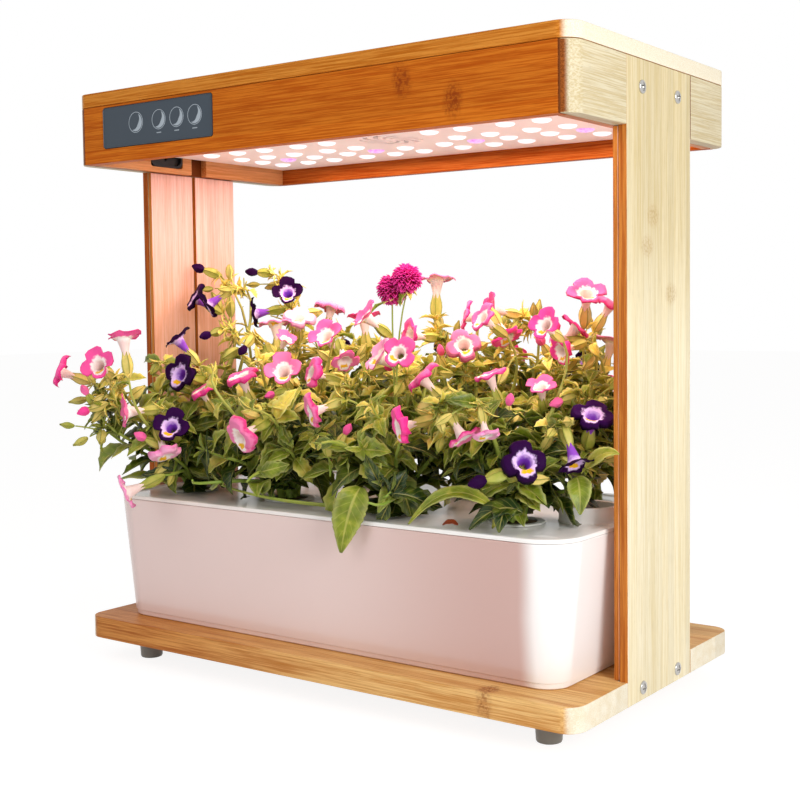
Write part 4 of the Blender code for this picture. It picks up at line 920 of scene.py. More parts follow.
profile = [(bore, lid_bottom), (bore, collar_top - LID_EDGE / 2), (bore + LID_EDGE / 2, collar_top),
           (COLLAR_RADIUS - LID_EDGE / 2, collar_top), (COLLAR_RADIUS, collar_top - LID_EDGE / 2),
           (COLLAR_RADIUS, lid_surface + LID_EDGE), (COLLAR_RADIUS + LID_EDGE, lid_surface - JOINT_GAP / 3),
           (COLLAR_RADIUS + LID_EDGE, lid_bottom)]
seat(turned("inlet_collar_ring", profile, lid_plastic, COLLAR_PLACE, COLLAR_SIDES, loop=True), "lid",
     "tank_white")


# Planting baskets.
# Eight slotted cups of white plastic hang by their flanges in the lid's holes and hold the root plugs. They
# are the CAD's own, with a matt finish.
basket_white = moulded("matt_polypropylene", "#C9C9C2", 0.45)
dress(basket_white, *[f"planting_basket_{row}_{column}" for row in POD_ROWS for column in (1, 2, 3, 4)])


# Plants.
# Eight flowering plants with toothed opposite leaves, yellow-green ribbed calyces and tubular flowers with
# four lobes, magenta or dark violet. Each grows from a root plug of coir in its basket.
MILLIMETRE = 0.001
STEM_START = 0.1190
STEM_RADII = (0.0018, 0.0007)
STEM_SPREAD = 0.004
STEM_SWAY = 0.012
STEM_RISE = 0.42
STEM_LIFT = 0.06
STEM_LEAN = 0.22
STEM_TONES = (0.13, 0.23)
TWIG_RADII = (0.0007, 0.0005)
TWIG_LENGTHS = (0.018, 0.030)
TWIG_JOINT = (0.022, 0.006)
TWIG_BEND = 0.004
STEM_POINTS = 10
STEM_SIDES = 6
LEAF_PROFILE = np.array(((0.0, 0.06), (0.10, 0.08), (0.20, 0.62), (0.32, 0.86), (0.40, 1.06), (0.52, 0.84),
                         (0.60, 0.94), (0.72, 0.60), (0.79, 0.62), (0.91, 0.22), (1.0, 0.02)))
LEAF_ACROSS = np.linspace(-1, 1, 3)
LEAF_THICKNESS = 0.0003
LEAF_LENGTHS = (0.034, 0.0115)
LEAF_LEVELS = (0.12, 0.245)
LEAF_NODES = (0.15, 0.27, 0.38, 0.48, 0.58, 0.68, 0.78, 0.87, 0.95)
TUFT_LEAVES = 7
TUFT_LENGTHS = (0.007, 0.014)
LOW_SHARE = 0.17
CALYX_LENGTH = 0.0155
CALYX_RADIUS = 0.0034
CALYX_SIDES = 10
CALYX_LEVEL = 0.195
TUBE_LENGTH = 0.0125
TUBE_RADII = (0.0017, 0.0042)
LIMB_RADIUS = 0.0115
LIMB_RISE = 0.0045
LIMB_FLARE = 0.0085
LIMB_RUFFLE = 0.0011
PETAL_COLUMNS = 24
PETAL_THICKNESS = 0.00025
BUD_LENGTH = 0.0095
BUD_RADIUS = 0.0034
FLOWER_TUBE = np.linspace(0, 1, 5)[:-1]
FLOWER_LIMB = np.array((0, 0.15, 0.35, 0.6, 0.82, 1.0))
FLOWER_ALONG = np.concatenate((FLOWER_TUBE / 2, (1 + FLOWER_LIMB) / 2))
PLUG_RADIUS = 0.0128
PLUG_PROFILE = ((0.78, -0.0255), (1.0, 0.0006), (0.7, 0.0014), (0.25, 0.0018))
FILL_SHOOTS = {"front_1": 9, "front_2": 20, "front_3": 20, "front_4": 14,
               "rear_1": 11, "rear_2": 22, "rear_3": 22, "rear_4": 15}
FILL_LEVELS = (0.165, 0.236)
FILL_MARGIN = (0.006, 0.008)
FILL_RISE = 0.06
FILL_SIZE = 0.8
OUTER_DROP = 0.022
FRONT_DROP = -0.018
GROWTH_LOW = np.array((-0.2050, -0.1460, 0.1))
GROWTH_HIGH = np.array((0.2050, 0.1440, 0.2835))
POST_SIDE = 0.1868
REAR_LEAN = 0.6
LID_CLEARANCE = 0.0012
RIM_SETBACK = 0.004
OVERHANG_SLOPES = {"front_1": 1.2, "front_2": 0.8, "front_3": 0.5, "front_4": 0.35,
                   "rear_1": 0.5, "rear_2": 0.5, "rear_3": 0.5, "rear_4": 0.5}
OPEN_SIDE = (0.57, -0.82, 0.04)
OPEN_LENGTH = 0.10
REAR_SIDE = 0.09
WAX_IOR = 1.42
SUBTRACT = {"operation": "SUBTRACT"}
BLADE_BLOTCH = 0.00769
SKIN_BLOTCH = 0.00625
PETAL_STREAK = 0.002632
BLADE_RELIEF = 0.0004
SKIN_RELIEF = 0.0003
COIR_GRAIN = 0.00111
COIR_RELIEF = 0.0006

# Each plant's flowers and buds: kind, X, Y and Z of the mouth in millimetres, azimuth and elevation of
# its facing in degrees, and size
HEADS = {
    "front_1": (
        ("pink", -189, -134, 208, -133, 21, 1.0), ("pink", -148, -134, 213, -68, 25, 1.05),
        ("pink", -134, -124, 230, 158, 73, 1.05), ("bud_pink", -169, -130, 181, -137, -19, 0.9),
        ("pink", -138, -118, 181, -124, -3, 1.0), ("pale", -135, -122, 127, -134, -24, 1.05),
        ("pale", -118, -104, 151, -8, -64, 1.0), ("violet", -116, -100, 170, -54, 29, 1.1),
        ("violet", -139, -70, 228, -144, 51, 0.95), ("violet", -123, -84, 205, -85, 13, 1.15),
        ("violet", -169, -24, 258, -123, 30, 1.0), ("violet", -149, -30, 253, -129, -33, 1.0),
        ("bud_violet", -142, -40, 231, -131, -18, 0.9), ("bud_pink", -133, -112, 164, -126, 30, 0.9),
        ("bud_pink", -170, -128, 195, -127, 60, 0.8), ("pink", -118, -70, 193, -116, 58, 0.8),
    ),
    "front_2": (
        ("bud_violet", -96, -50, 221, -87, -41, 0.9), ("pink", -73, -76, 204, -106, 66, 1.05),
        ("pink", -40, -70, 208, -61, 34, 1.1), ("pale", -92, -20, 238, 152, 80, 1.05),
        ("pink", -4, -50, 215, -32, -46, 0.85), ("pink", -65, -40, 228, -11, 50, 0.7),
        ("pink", -40, -112, 168, -105, -26, 1.15), ("bud_pink", -43, -80, 193, -125, -17, 0.7),
    ),
    "front_3": (
        ("pink", -19, -66, 207, -118, 15, 0.9), ("pale", 18, -40, 217, -126, 30, 1.15),
        ("bud_pink", 18, -30, 211, 24, 20, 0.9), ("pink", 62, -56, 206, -144, 46, 1.05),
        ("pink", 3, -92, 184, -125, -17, 1.0), ("bud_pink", 22, -80, 173, 8, 57, 0.8),
        ("pink", 53, -66, 221, -62, 18, 0.95),
    ),
    "front_4": (
        ("pink", 75, -96, 178, -126, -13, 1.0), ("pink", 118, -92, 174, 3, -56, 0.9),
        ("pale", 134, -92, 176, -31, -67, 0.75), ("pink", 107, -46, 207, -136, 70, 0.9),
        ("pink", 134, -30, 200, -70, 59, 0.85), ("bud_violet", 134, -100, 150, -126, -13, 1.15),
        ("violet", 155, -84, 161, -49, 28, 1.15), ("violet", 174, -60, 160, -24, -62, 1.0),
        ("violet", 175, -40, 185, -47, 56, 1.15), ("bud_pink", 145, -30, 191, -125, -17, 0.9),
        ("bud_pink", 124, -50, 193, -19, 72, 0.8), ("pink", 149, -50, 238, -92, 26, 0.9),
    ),
    "rear_1": (
        ("bud_violet", -179, -10, 281, -140, 21, 1.0), ("violet", -131, 0, 246, -138, -9, 1.0),
        ("bud_violet", -152, 20, 278, -139, 6, 1.0), ("violet", -107, 10, 261, -54, 29, 1.0),
        ("pink", -168, 116, 192, 118, 24, 1.0), ("violet", -142, 122, 214, 84, 30, 1.05),
        ("pink", -122, 118, 180, 70, -8, 0.95), ("bud_pink", -150, 126, 168, 100, -20, 0.9),
    ),
    "rear_2": (
        ("pale", -82, -6, 243, -40, 55, 1.05), ("pink", -45, -20, 230, -82, 41, 1.1),
        ("pale", -73, 20, 251, 73, 71, 1.0), ("pink", -43, 20, 241, 152, 80, 1.05),
        ("pink", -92, 120, 202, 100, 22, 1.05), ("pale", -62, 126, 186, 82, -14, 1.0),
        ("violet", -40, 118, 214, 96, 34, 1.0), ("bud_violet", -74, 122, 170, 110, 0, 0.9),
        ("pink", -17, -10, 243, -124, 38, 1.0),
    ),
    "rear_3": (
        ("pink", 6, 10, 230, -118, 6, 1.0), ("pale", 7, 40, 268, 121, 81, 1.15),
        ("pink", 57, 0, 224, -57, 29, 1.05), ("pink", 39, 30, 243, -143, 16, 0.9),
        ("pink", 54, 40, 247, -127, 11, 1.0), ("pink", 78, 20, 229, -5, -53, 1.0),
        ("bud_pink", 31, 10, 220, -87, 73, 0.8), ("pink", -8, 122, 196, 112, 18, 1.05),
        ("pink", 20, 124, 212, 78, 32, 0.95), ("pale", 40, 118, 182, 88, -10, 1.0),
        ("bud_pink", 8, 126, 174, 90, 10, 0.9), ("pink", 88, -24, 242, -112, 32, 0.9),
    ),
    "rear_4": (
        ("pink", 114, 20, 229, -139, 6, 0.85), ("pink", 131, 0, 221, -112, -15, 0.9),
        ("pink", 125, 30, 235, 35, 49, 0.95), ("pink", 133, 30, 257, -54, 53, 1.15),
        ("pink", 130, 70, 251, 29, 59, 1.0), ("pale", 135, 60, 224, 65, 72, 1.0),
        ("bud_pink", 98, 30, 227, -127, 60, 0.9), ("violet", 84, 116, 206, 98, 26, 1.0),
        ("pink", 108, 110, 188, 74, 4, 1.0),
    ),
}


def directions(azimuth, elevation):
    """Unit vectors from azimuths and elevations in degrees."""
    turn, rise = np.radians(azimuth), np.radians(elevation)
    return np.stack((np.cos(turn) * np.cos(rise), np.sin(turn) * np.cos(rise), np.sin(rise)), -1)


def unit(vectors):
    """Vectors divided by their lengths."""
    return vectors / np.linalg.norm(vectors, axis=-1, keepdims=True)


def axes_along(forward, top):
    """Matrices with a side, a top and the forward direction as columns; the top leans to the given one."""
    side = unit(np.cross(top, forward))
    return np.stack((side, np.cross(forward, side), forward), -1)


def placed(grids, matrices, places):
    """Grids of local points, turned and moved to their places."""
    return np.einsum("nij,nrcj->nrci", matrices, grids) + places[:, None, None]


def put_grids(name, grids, surface, pod, closed=False, wrap=False, thickness=0.0, **marks):
    """One piece from many equal grids of points, riding on a pod. Wrap joins the last column to the first,
    and closed also shuts both ends; open blades get a thickness. The marks are values at the points."""
    piece = put(name, grids, surface, closed, closed or wrap)
    for key, values in marks.items():
        layer = piece.data.attributes.new(key, "FLOAT", "POINT")
        layer.data.foreach_set("value", np.broadcast_to(values, grids.shape[:3]).ravel())
    if thickness:
        solid = piece.modifiers.new("thickness", "SOLIDIFY")
        solid.thickness = thickness
        solid.offset = 0
    return seat(piece, f"pod_{pod}", "plant")


def spread(*values):
    """Values for many pieces, each ready to be met with rows and columns."""
    return (np.asarray(value, float)[:, None, None] for value in values)


def leaf_grids(length, width, droop, fold, phase):
    """Ovate blades: half the width follows the profile with every second row drawn in as a tooth. The midrib
    bends down as an arc of the droop angle, and the blade rises from it by the fold, with a slight ripple."""
    along, half = LEAF_PROFILE.T[..., None]
    s = LEAF_ACROSS
    length, width, droop, fold, phase = spread(length, width, droop, fold, phase)
    breadth = width / 2 * half
    bend = droop * along
    lift = breadth * (fold * np.abs(s) + 0.22 * s ** 2 * np.sin(9 * along + phase + s))
    reach = length * np.sin(bend) / droop + lift * np.sin(bend)
    drop = length * (1 - np.cos(bend)) / droop
    return np.stack((s * breadth, lift * np.cos(bend) - drop, reach), -1)


def calyx_grids(length, radius, bud):
    """Inflated ribbed calyces about z, ending at 0: the radius is a sine of the height with five ribs. The
    first and the last row close in, and the last two stand up and down as five teeth."""
    s = np.array((0, 0.04, 0.18, 0.36, 0.55, 0.74, 0.9, 1.0, 1.0))[:, None]
    girth = np.array((0.2, 1, 1, 1, 1, 1, 1, 1, 0.1))[:, None]
    tooth = np.array((0, 0, 0, 0, 0, 0, 0, 1, -1))[:, None]
    turn = round_steps(CALYX_SIDES)
    length, radius, bud = spread(length, radius, bud)
    body = np.sin(math.pi * (0.06 + (0.78 + 0.12 * bud) * s)) ** 0.8 * (1 + 0.20 * np.cos(5 * turn)) * girth
    teeth = 0.10 * np.cos(5 * turn) * tooth
    body = radius * body
    return np.stack((body * np.cos(turn), body * np.sin(turn), length * (s - 1 + teeth)), -1)


def flower_grids(size, flare, phase):
    """Flowers about z with the mouth at 0: a widening tube, then a limb of four round lobes with a notch
    between them. The limb's radius grows as a sine, and it bends back as the flare times its square."""
    turn = round_steps(PETAL_COLUMNS)
    tube, limb = FLOWER_TUBE[:, None], FLOWER_LIMB[:, None]
    size, flare, phase = spread(size, flare, phase)
    edge = LIMB_RADIUS * (1 - 0.34 * np.abs(np.sin(2 * turn)) ** 9) * (1 + 0.10 * np.sin(turn))
    tube_radius = TUBE_RADII[0] + (TUBE_RADII[1] - TUBE_RADII[0]) * tube ** 1.6
    low = np.broadcast_arrays(tube_radius * np.cos(turn) * size, tube_radius * np.sin(turn) * size,
                              TUBE_LENGTH * (tube - 1) * size)
    reach = TUBE_RADII[1] + (edge - TUBE_RADII[1]) * np.sin(limb * math.pi / 2) ** 0.9
    ruffle = LIMB_RUFFLE * limb ** 2 * np.sin(6 * turn + phase)
    rise = LIMB_RISE * np.sin(limb * math.pi / 2) - LIMB_FLARE * flare * limb ** 2 + ruffle
    high = np.broadcast_arrays(reach * np.cos(turn) * size, reach * np.sin(turn) * size, rise * size)
    return np.concatenate((np.stack(low, -1), np.stack(high, -1)), 1)


def bud_grids(length, radius):
    """Furled flowers about z from 0 up: a club whose radius is a sine of its height, with four folds."""
    s = np.array((0, 0.2, 0.45, 0.7, 0.9, 1.0))[:, None]
    turn = round_steps(CALYX_SIDES + 2)
    length, radius = spread(length, radius)
    body = radius * np.sin(math.pi * (0.18 + 0.76 * s)) * (1 + 0.16 * np.cos(4 * turn + 2 * s))
    return np.stack((body * np.cos(turn), body * np.sin(turn), length * (s - 0.15) + 0 * turn), -1)


def stem_grids(start, rise, lean, end, radii):
    """Stems along cubic Bezier curves through four control points, with a radius that thins to the tip.
    Gives the grids, the curve's points and its directions."""
    t = np.linspace(0, 1, STEM_POINTS)[:, None]
    control = np.stack((start, rise, lean, end), 1)
    weights = np.concatenate(((1 - t) ** 3, 3 * t * (1 - t) ** 2, 3 * t ** 2 * (1 - t), t ** 3), 1)
    path = kept_clear(np.einsum("pk,nkj->npj", weights, control))
    ahead = unit(np.gradient(path, axis=1))
    side = unit(np.cross(ahead, (0.31, 0.17, 0.93)))
    other = np.cross(ahead, side)
    circle = on_circle(round_steps(STEM_SIDES))
    radius = (radii[0] + (radii[1] - radii[0]) * t)[..., None]
    ring = side[:, :, None] * circle[:, :1] + other[:, :, None] * circle[:, 1:]
    return path[:, :, None] + radius * ring, path, ahead


def kept_clear(points):
    """Points kept within the growing space: off the lid, in from the posts and under the lamp."""
    points = np.clip(points, GROWTH_LOW, GROWTH_HIGH)
    x, y, z = points[..., 0], points[..., 1], points[..., 2]
    over_lid = y > tank_low.y - LID_CLEARANCE
    points[..., 2] = np.where(over_lid, np.maximum(z, lid_top + LID_CLEARANCE), z)
    between = y > post_low.y - 2 * LID_CLEARANCE
    lean = REAR_LEAN * np.maximum(y - post_high.y, 0)
    points[..., 0] = np.where(between, np.clip(x, -POST_SIDE, POST_SIDE - lean), x)
    return points


def leafy(name, rough, marks, **values):
    """A waxy, slightly dull plant material. Gives the material, its tree, its shader, the place on the object
    and the marks left at the points."""
    made, tree, shader, place = coated(name, Roughness=rough, IOR=WAX_IOR, **values)
    read = [node(tree, "Attribute", {"attribute_name": mark}).outputs["Fac"] for mark in marks]
    return made, tree, shader, place, *read


def leaf_blade():
    """Leaf blades: dark green at a low tone and yellow-green at a high one, with paler ribs and blotches. In
    the crowns the tone follows height, which paints the shade low down and the lamp's light near the top. The
    light that comes through a blade is yellow-green."""
    made, tree, shader, place, tone, along, across = leafy(
        "leaf_blade", 0.36, ("tone", "along", "across"), Specular_IOR_Level=0.4, Subsurface_Weight=0.2,
        Subsurface_Radius=(0.5, 1.0, 0.2), Subsurface_Scale=LEAF_THICKNESS * 3)
    blotch = node(tree, "TexNoise", {}, Vector=place, Scale=1 / BLADE_BLOTCH, Detail=3.0)
    share = node(tree, "Math", MULTIPLY_ADD, blotch, 0.9, node(tree, "Math", SUBTRACT, tone, 0.45))
    share = node(tree, "Math", {"operation": "MAXIMUM", "use_clamp": True}, share, 0.0)
    low = node(tree, "Mix", MIX, node(tree, "MapRange", {}, share, 0.0, 0.5), "#1A3008", "#849224")
    colour = node(tree, "Mix", MIX, node(tree, "MapRange", {}, share, 0.5, 1.0), low, "#F3D964")
    sideways = node(tree, "Math", ABSOLUTE, across)
    margin = node(tree, "MapRange", SMOOTH, sideways, 0.55, 1.0, 0.0, 0.6)
    colour = node(tree, "Mix", MIX, node(tree, "Math", MULTIPLY, margin, tone), colour, "#F2EA9A")
    rib = node(tree, "MapRange", SMOOTH, sideways, 0.03, 0.12, 1.0, 0.0)
    slant = node(tree, "Math", MULTIPLY_ADD, sideways, -0.22, along)
    wave = node(tree, "Math", {"operation": "SINE"}, node(tree, "Math", MULTIPLY, slant, 46.0))
    vein = node(tree, "MapRange", SMOOTH, wave, 0.80, 1.0, 0.0, 0.35)
    lines = node(tree, "Math", MAXIMUM, rib, vein)
    pale = node(tree, "Mix", MIX, 0.6, colour, "#D9CC74")
    colour = node(tree, "Mix", MIX, node(tree, "Math", MULTIPLY, lines, 0.7), colour, pale)
    height = node(tree, "Math", SUBTRACT, blotch, lines)
    bump = node(tree, "Bump", {}, Strength=0.5, Distance=BLADE_RELIEF, Height=height)
    feed(shader, Base_Color=colour, Normal=bump)
    return made


def ribbed_skin(name, low, high, rib):
    """Stems, calyces and bracts: the colour goes from low to high with the tone and takes the rib colour on
    ribs."""
    made, tree, shader, place, tone, ribs = leafy(name, 0.45, ("tone", "rib"), Specular_IOR_Level=0.35)
    blotch = node(tree, "TexNoise", {}, Vector=place, Scale=1 / SKIN_BLOTCH, Detail=2.0)
    shift = node(tree, "MapRange", {}, blotch, 0.3, 0.7, -0.2, 0.2)
    share = node(tree, "Math", {"operation": "ADD", "use_clamp": True}, tone, shift)
    colour = node(tree, "Mix", MIX, share, low, high)
    ridge = node(tree, "MapRange", SMOOTH, ribs, 0.1, 0.9, 0.0, 0.75)
    bump = node(tree, "Bump", {}, Strength=0.4, Distance=SKIN_RELIEF, Height=blotch)
    feed(shader, Base_Color=node(tree, "Mix", MIX, ridge, colour, rib), Normal=bump)
    return made


def petal_skin(name, tube, throat, lobes, rims, shine=0.2, velvet=0.2):
    """Petals: a pale tube, a white or lilac throat that reaches on to the lower lobe with a yellow spot in
    it, and velvety lobes with a rim, both between two colours by the flower's tone."""
    made, tree, shader, place, along, lower, tone = leafy(
        name, 0.55, ("along", "lower", "tone"), Specular_IOR_Level=shine, Sheen_Weight=velvet,
        Sheen_Roughness=0.4)
    streak = node(tree, "TexNoise", {}, Vector=place, Scale=1 / PETAL_STREAK, Detail=2.0)
    shift = node(tree, "MapRange", {}, streak, 0.3, 0.7, -0.04, 0.04)
    shifted = node(tree, "Math", {"operation": "ADD"}, along, shift)
    reach = node(tree, "MapRange", SMOOTH, lower, 0.3, 1.0)
    reach = node(tree, "Math", MULTIPLY_ADD, reach, -0.15, shifted)
    colour = tube
    for value, start, stop, shade in ((shifted, 0.35, 0.5, throat),
                                      (reach, 0.525, 0.60, node(tree, "Mix", MIX, tone, *lobes)),
                                      (shifted, 0.86, 0.98, node(tree, "Mix", MIX, tone, *rims))):
        colour = node(tree, "Mix", MIX, node(tree, "MapRange", SMOOTH, value, start, stop), colour, shade)
    spot = 1.0
    for value, *limits in ((lower, 0.78, 0.92), (shifted, 0.47, 0.52), (shifted, 0.60, 0.64, 1.0, 0.0)):
        spot = node(tree, "Math", MULTIPLY, spot, node(tree, "MapRange", SMOOTH, value, *limits))
    bump = node(tree, "Bump", {}, Strength=0.4, Distance=SKIN_RELIEF, Height=streak)
    feed(shader, Base_Color=node(tree, "Mix", MIX, spot, colour, "#F2B91C"), Normal=bump)
    return made


leaf_green = leaf_blade()
stem_green = ribbed_skin("stem_skin", "#86A03C", "#BCB860", "#7E8A34")
calyx_green = ribbed_skin("calyx_skin", "#9AA23C", "#EAD27A", "#7E8A2E")
dried_skin = ribbed_skin("dried_skin", "#4E2414", "#8E3C1C", "#6A2E18")
magenta_petal = petal_skin("magenta_petal", "#F8DCD6", "#FFF6F0", ("#FF3F9C", "#F07FB0"),
                           ("#F62B8C", "#DE3C86"))
pale_petal = petal_skin("pale_petal", "#F6DDD4", "#FBF0EA", ("#F8A3CC", "#F4B6D4"), ("#F07CB8", "#F090C4"))
violet_petal = petal_skin("violet_petal", "#9650C8", "#E4C4F6", ("#260632", "#320A44"),
                          ("#100312", "#1A0524"), 0.06, 0.0)
bract_magenta = ribbed_skin("pompom_bract", "#A80E38", "#F0209A", "#FF4DB8")
coir = moulded("coir_plug", "#4A3A26", 0.85, COIR_GRAIN, COIR_RELIEF, 0.2)
PETALS = {"pink": magenta_petal, "pale": pale_petal, "violet": violet_petal}
HEAD_PODS = np.array([pod for pod, heads in HEADS.items() for head in heads])
HEAD_KINDS = np.array([head[0] for heads in HEADS.values() for head in heads])
HEAD_TABLE = np.array([head[1:] for heads in HEADS.values() for head in heads], float)
HEAD_PLACES = HEAD_TABLE[:, :3] * MILLIMETRE
HEAD_FACING = directions(HEAD_TABLE[:, 3], HEAD_TABLE[:, 4])
HEAD_SIZES = HEAD_TABLE[:, 5]
HEAD_OPEN = np.isin(HEAD_KINDS, list(PETALS))


def before_flowers(grids):
    """Which blades stand before a flower, within its limb's reach of the way that it opens to the light: the
    garden's bright side, where it faces that, and straight ahead."""
    points = grids.reshape(len(grids), 1, -1, 3) - HEAD_PLACES[None, :, None]
    radius = np.where(HEAD_OPEN, LIMB_RADIUS, CALYX_RADIUS) * HEAD_SIZES
    hidden = np.zeros(len(grids), bool)
    bright = np.where(HEAD_PLACES[:, 1:2] < REAR_SIDE, unit(np.array(OPEN_SIDE)), HEAD_FACING)
    for way, length in ((bright, OPEN_LENGTH), (HEAD_FACING, OPEN_LENGTH / 3)):
        depth = np.clip(np.einsum("nhpj,hj->nhp", points, way), 0, length)
        apart = np.linalg.norm(points - depth[..., None] * way[None, :, None], axis=-1)
        hidden |= (apart < radius[None, :, None]).any((1, 2))
    return hidden


def leaf_pairs(path, ahead, random):
    """Opposite leaves up the stems: where each sits, which way it grows and which way its stem does."""
    stop = np.array(LEAF_NODES) * (STEM_POINTS - 1)
    low = stop.astype(int)
    share = (stop - low)[None, :, None]
    where = path[:, low] * (1 - share) + path[:, np.minimum(low + 1, STEM_POINTS - 1)] * share
    along = unit(ahead[:, low])
    base = unit(np.cross(along, (0.23, 0.11, 0.96)))
    turn = random.uniform(0, 2 * math.pi, (len(path), 1)) + np.arange(len(stop)) * math.pi / 2
    turn = turn + random.normal(0, 0.25, turn.shape)
    turn = np.stack((turn, turn + math.pi), 2)[..., None]
    sideways = base[:, :, None] * np.cos(turn) + np.cross(along, base)[:, :, None] * np.sin(turn)
    climb = random.uniform(0.1, 0.9, sideways.shape[:3])[..., None]
    forward = sideways * np.cos(climb) + along[:, :, None] * np.sin(climb)
    return [np.broadcast_to(values, forward.shape).reshape(-1, 3) for values in
            (where[:, :, None], forward, along[:, :, None])]


def tufts(tips, towards, random):
    """Narrow young leaves round the tips of shoots, leaning out from the shoot's direction."""
    base = unit(np.cross(towards, (0.23, 0.11, 0.96)))[:, None]
    turn = np.arange(TUFT_LEAVES) * 2 * math.pi / TUFT_LEAVES
    turn = (turn + random.uniform(0, 6, (len(tips), 1)))[..., None]
    sideways = base * np.cos(turn) + np.cross(towards[:, None], base) * np.sin(turn)
    climb = random.uniform(0.3, 1.2, turn.shape)
    forward = sideways * np.cos(climb) + towards[:, None] * np.sin(climb)
    return [np.broadcast_to(values, forward.shape).reshape(-1, 3) for values in
            (tips[:, None], forward, towards[:, None])]


def fill_shoots(name, x, y, random):
    """Tips and directions of the leafy shoots without flowers: spread through the crown of the part, lower
    towards its outside."""
    low, high = (np.array(corner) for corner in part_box(f"plant_{name}"))
    ends = random.uniform((*low[:2] + FILL_MARGIN, FILL_LEVELS[0]), (*high[:2] - FILL_MARGIN, FILL_LEVELS[1]),
                          (FILL_SHOOTS[name], 3))
    outward = np.abs(ends[:, 1] - y) / max(high[1] - y, y - low[1])
    ends[:, 2] += (FRONT_DROP if name.startswith("front") else 0) - OUTER_DROP * outward ** 2
    facing = unit(np.column_stack((ends[:, 0] - x, ends[:, 1] - y, np.full(len(ends), FILL_RISE)))
                  + random.normal(0, 0.25, ends.shape))
    return kept_clear(ends), facing


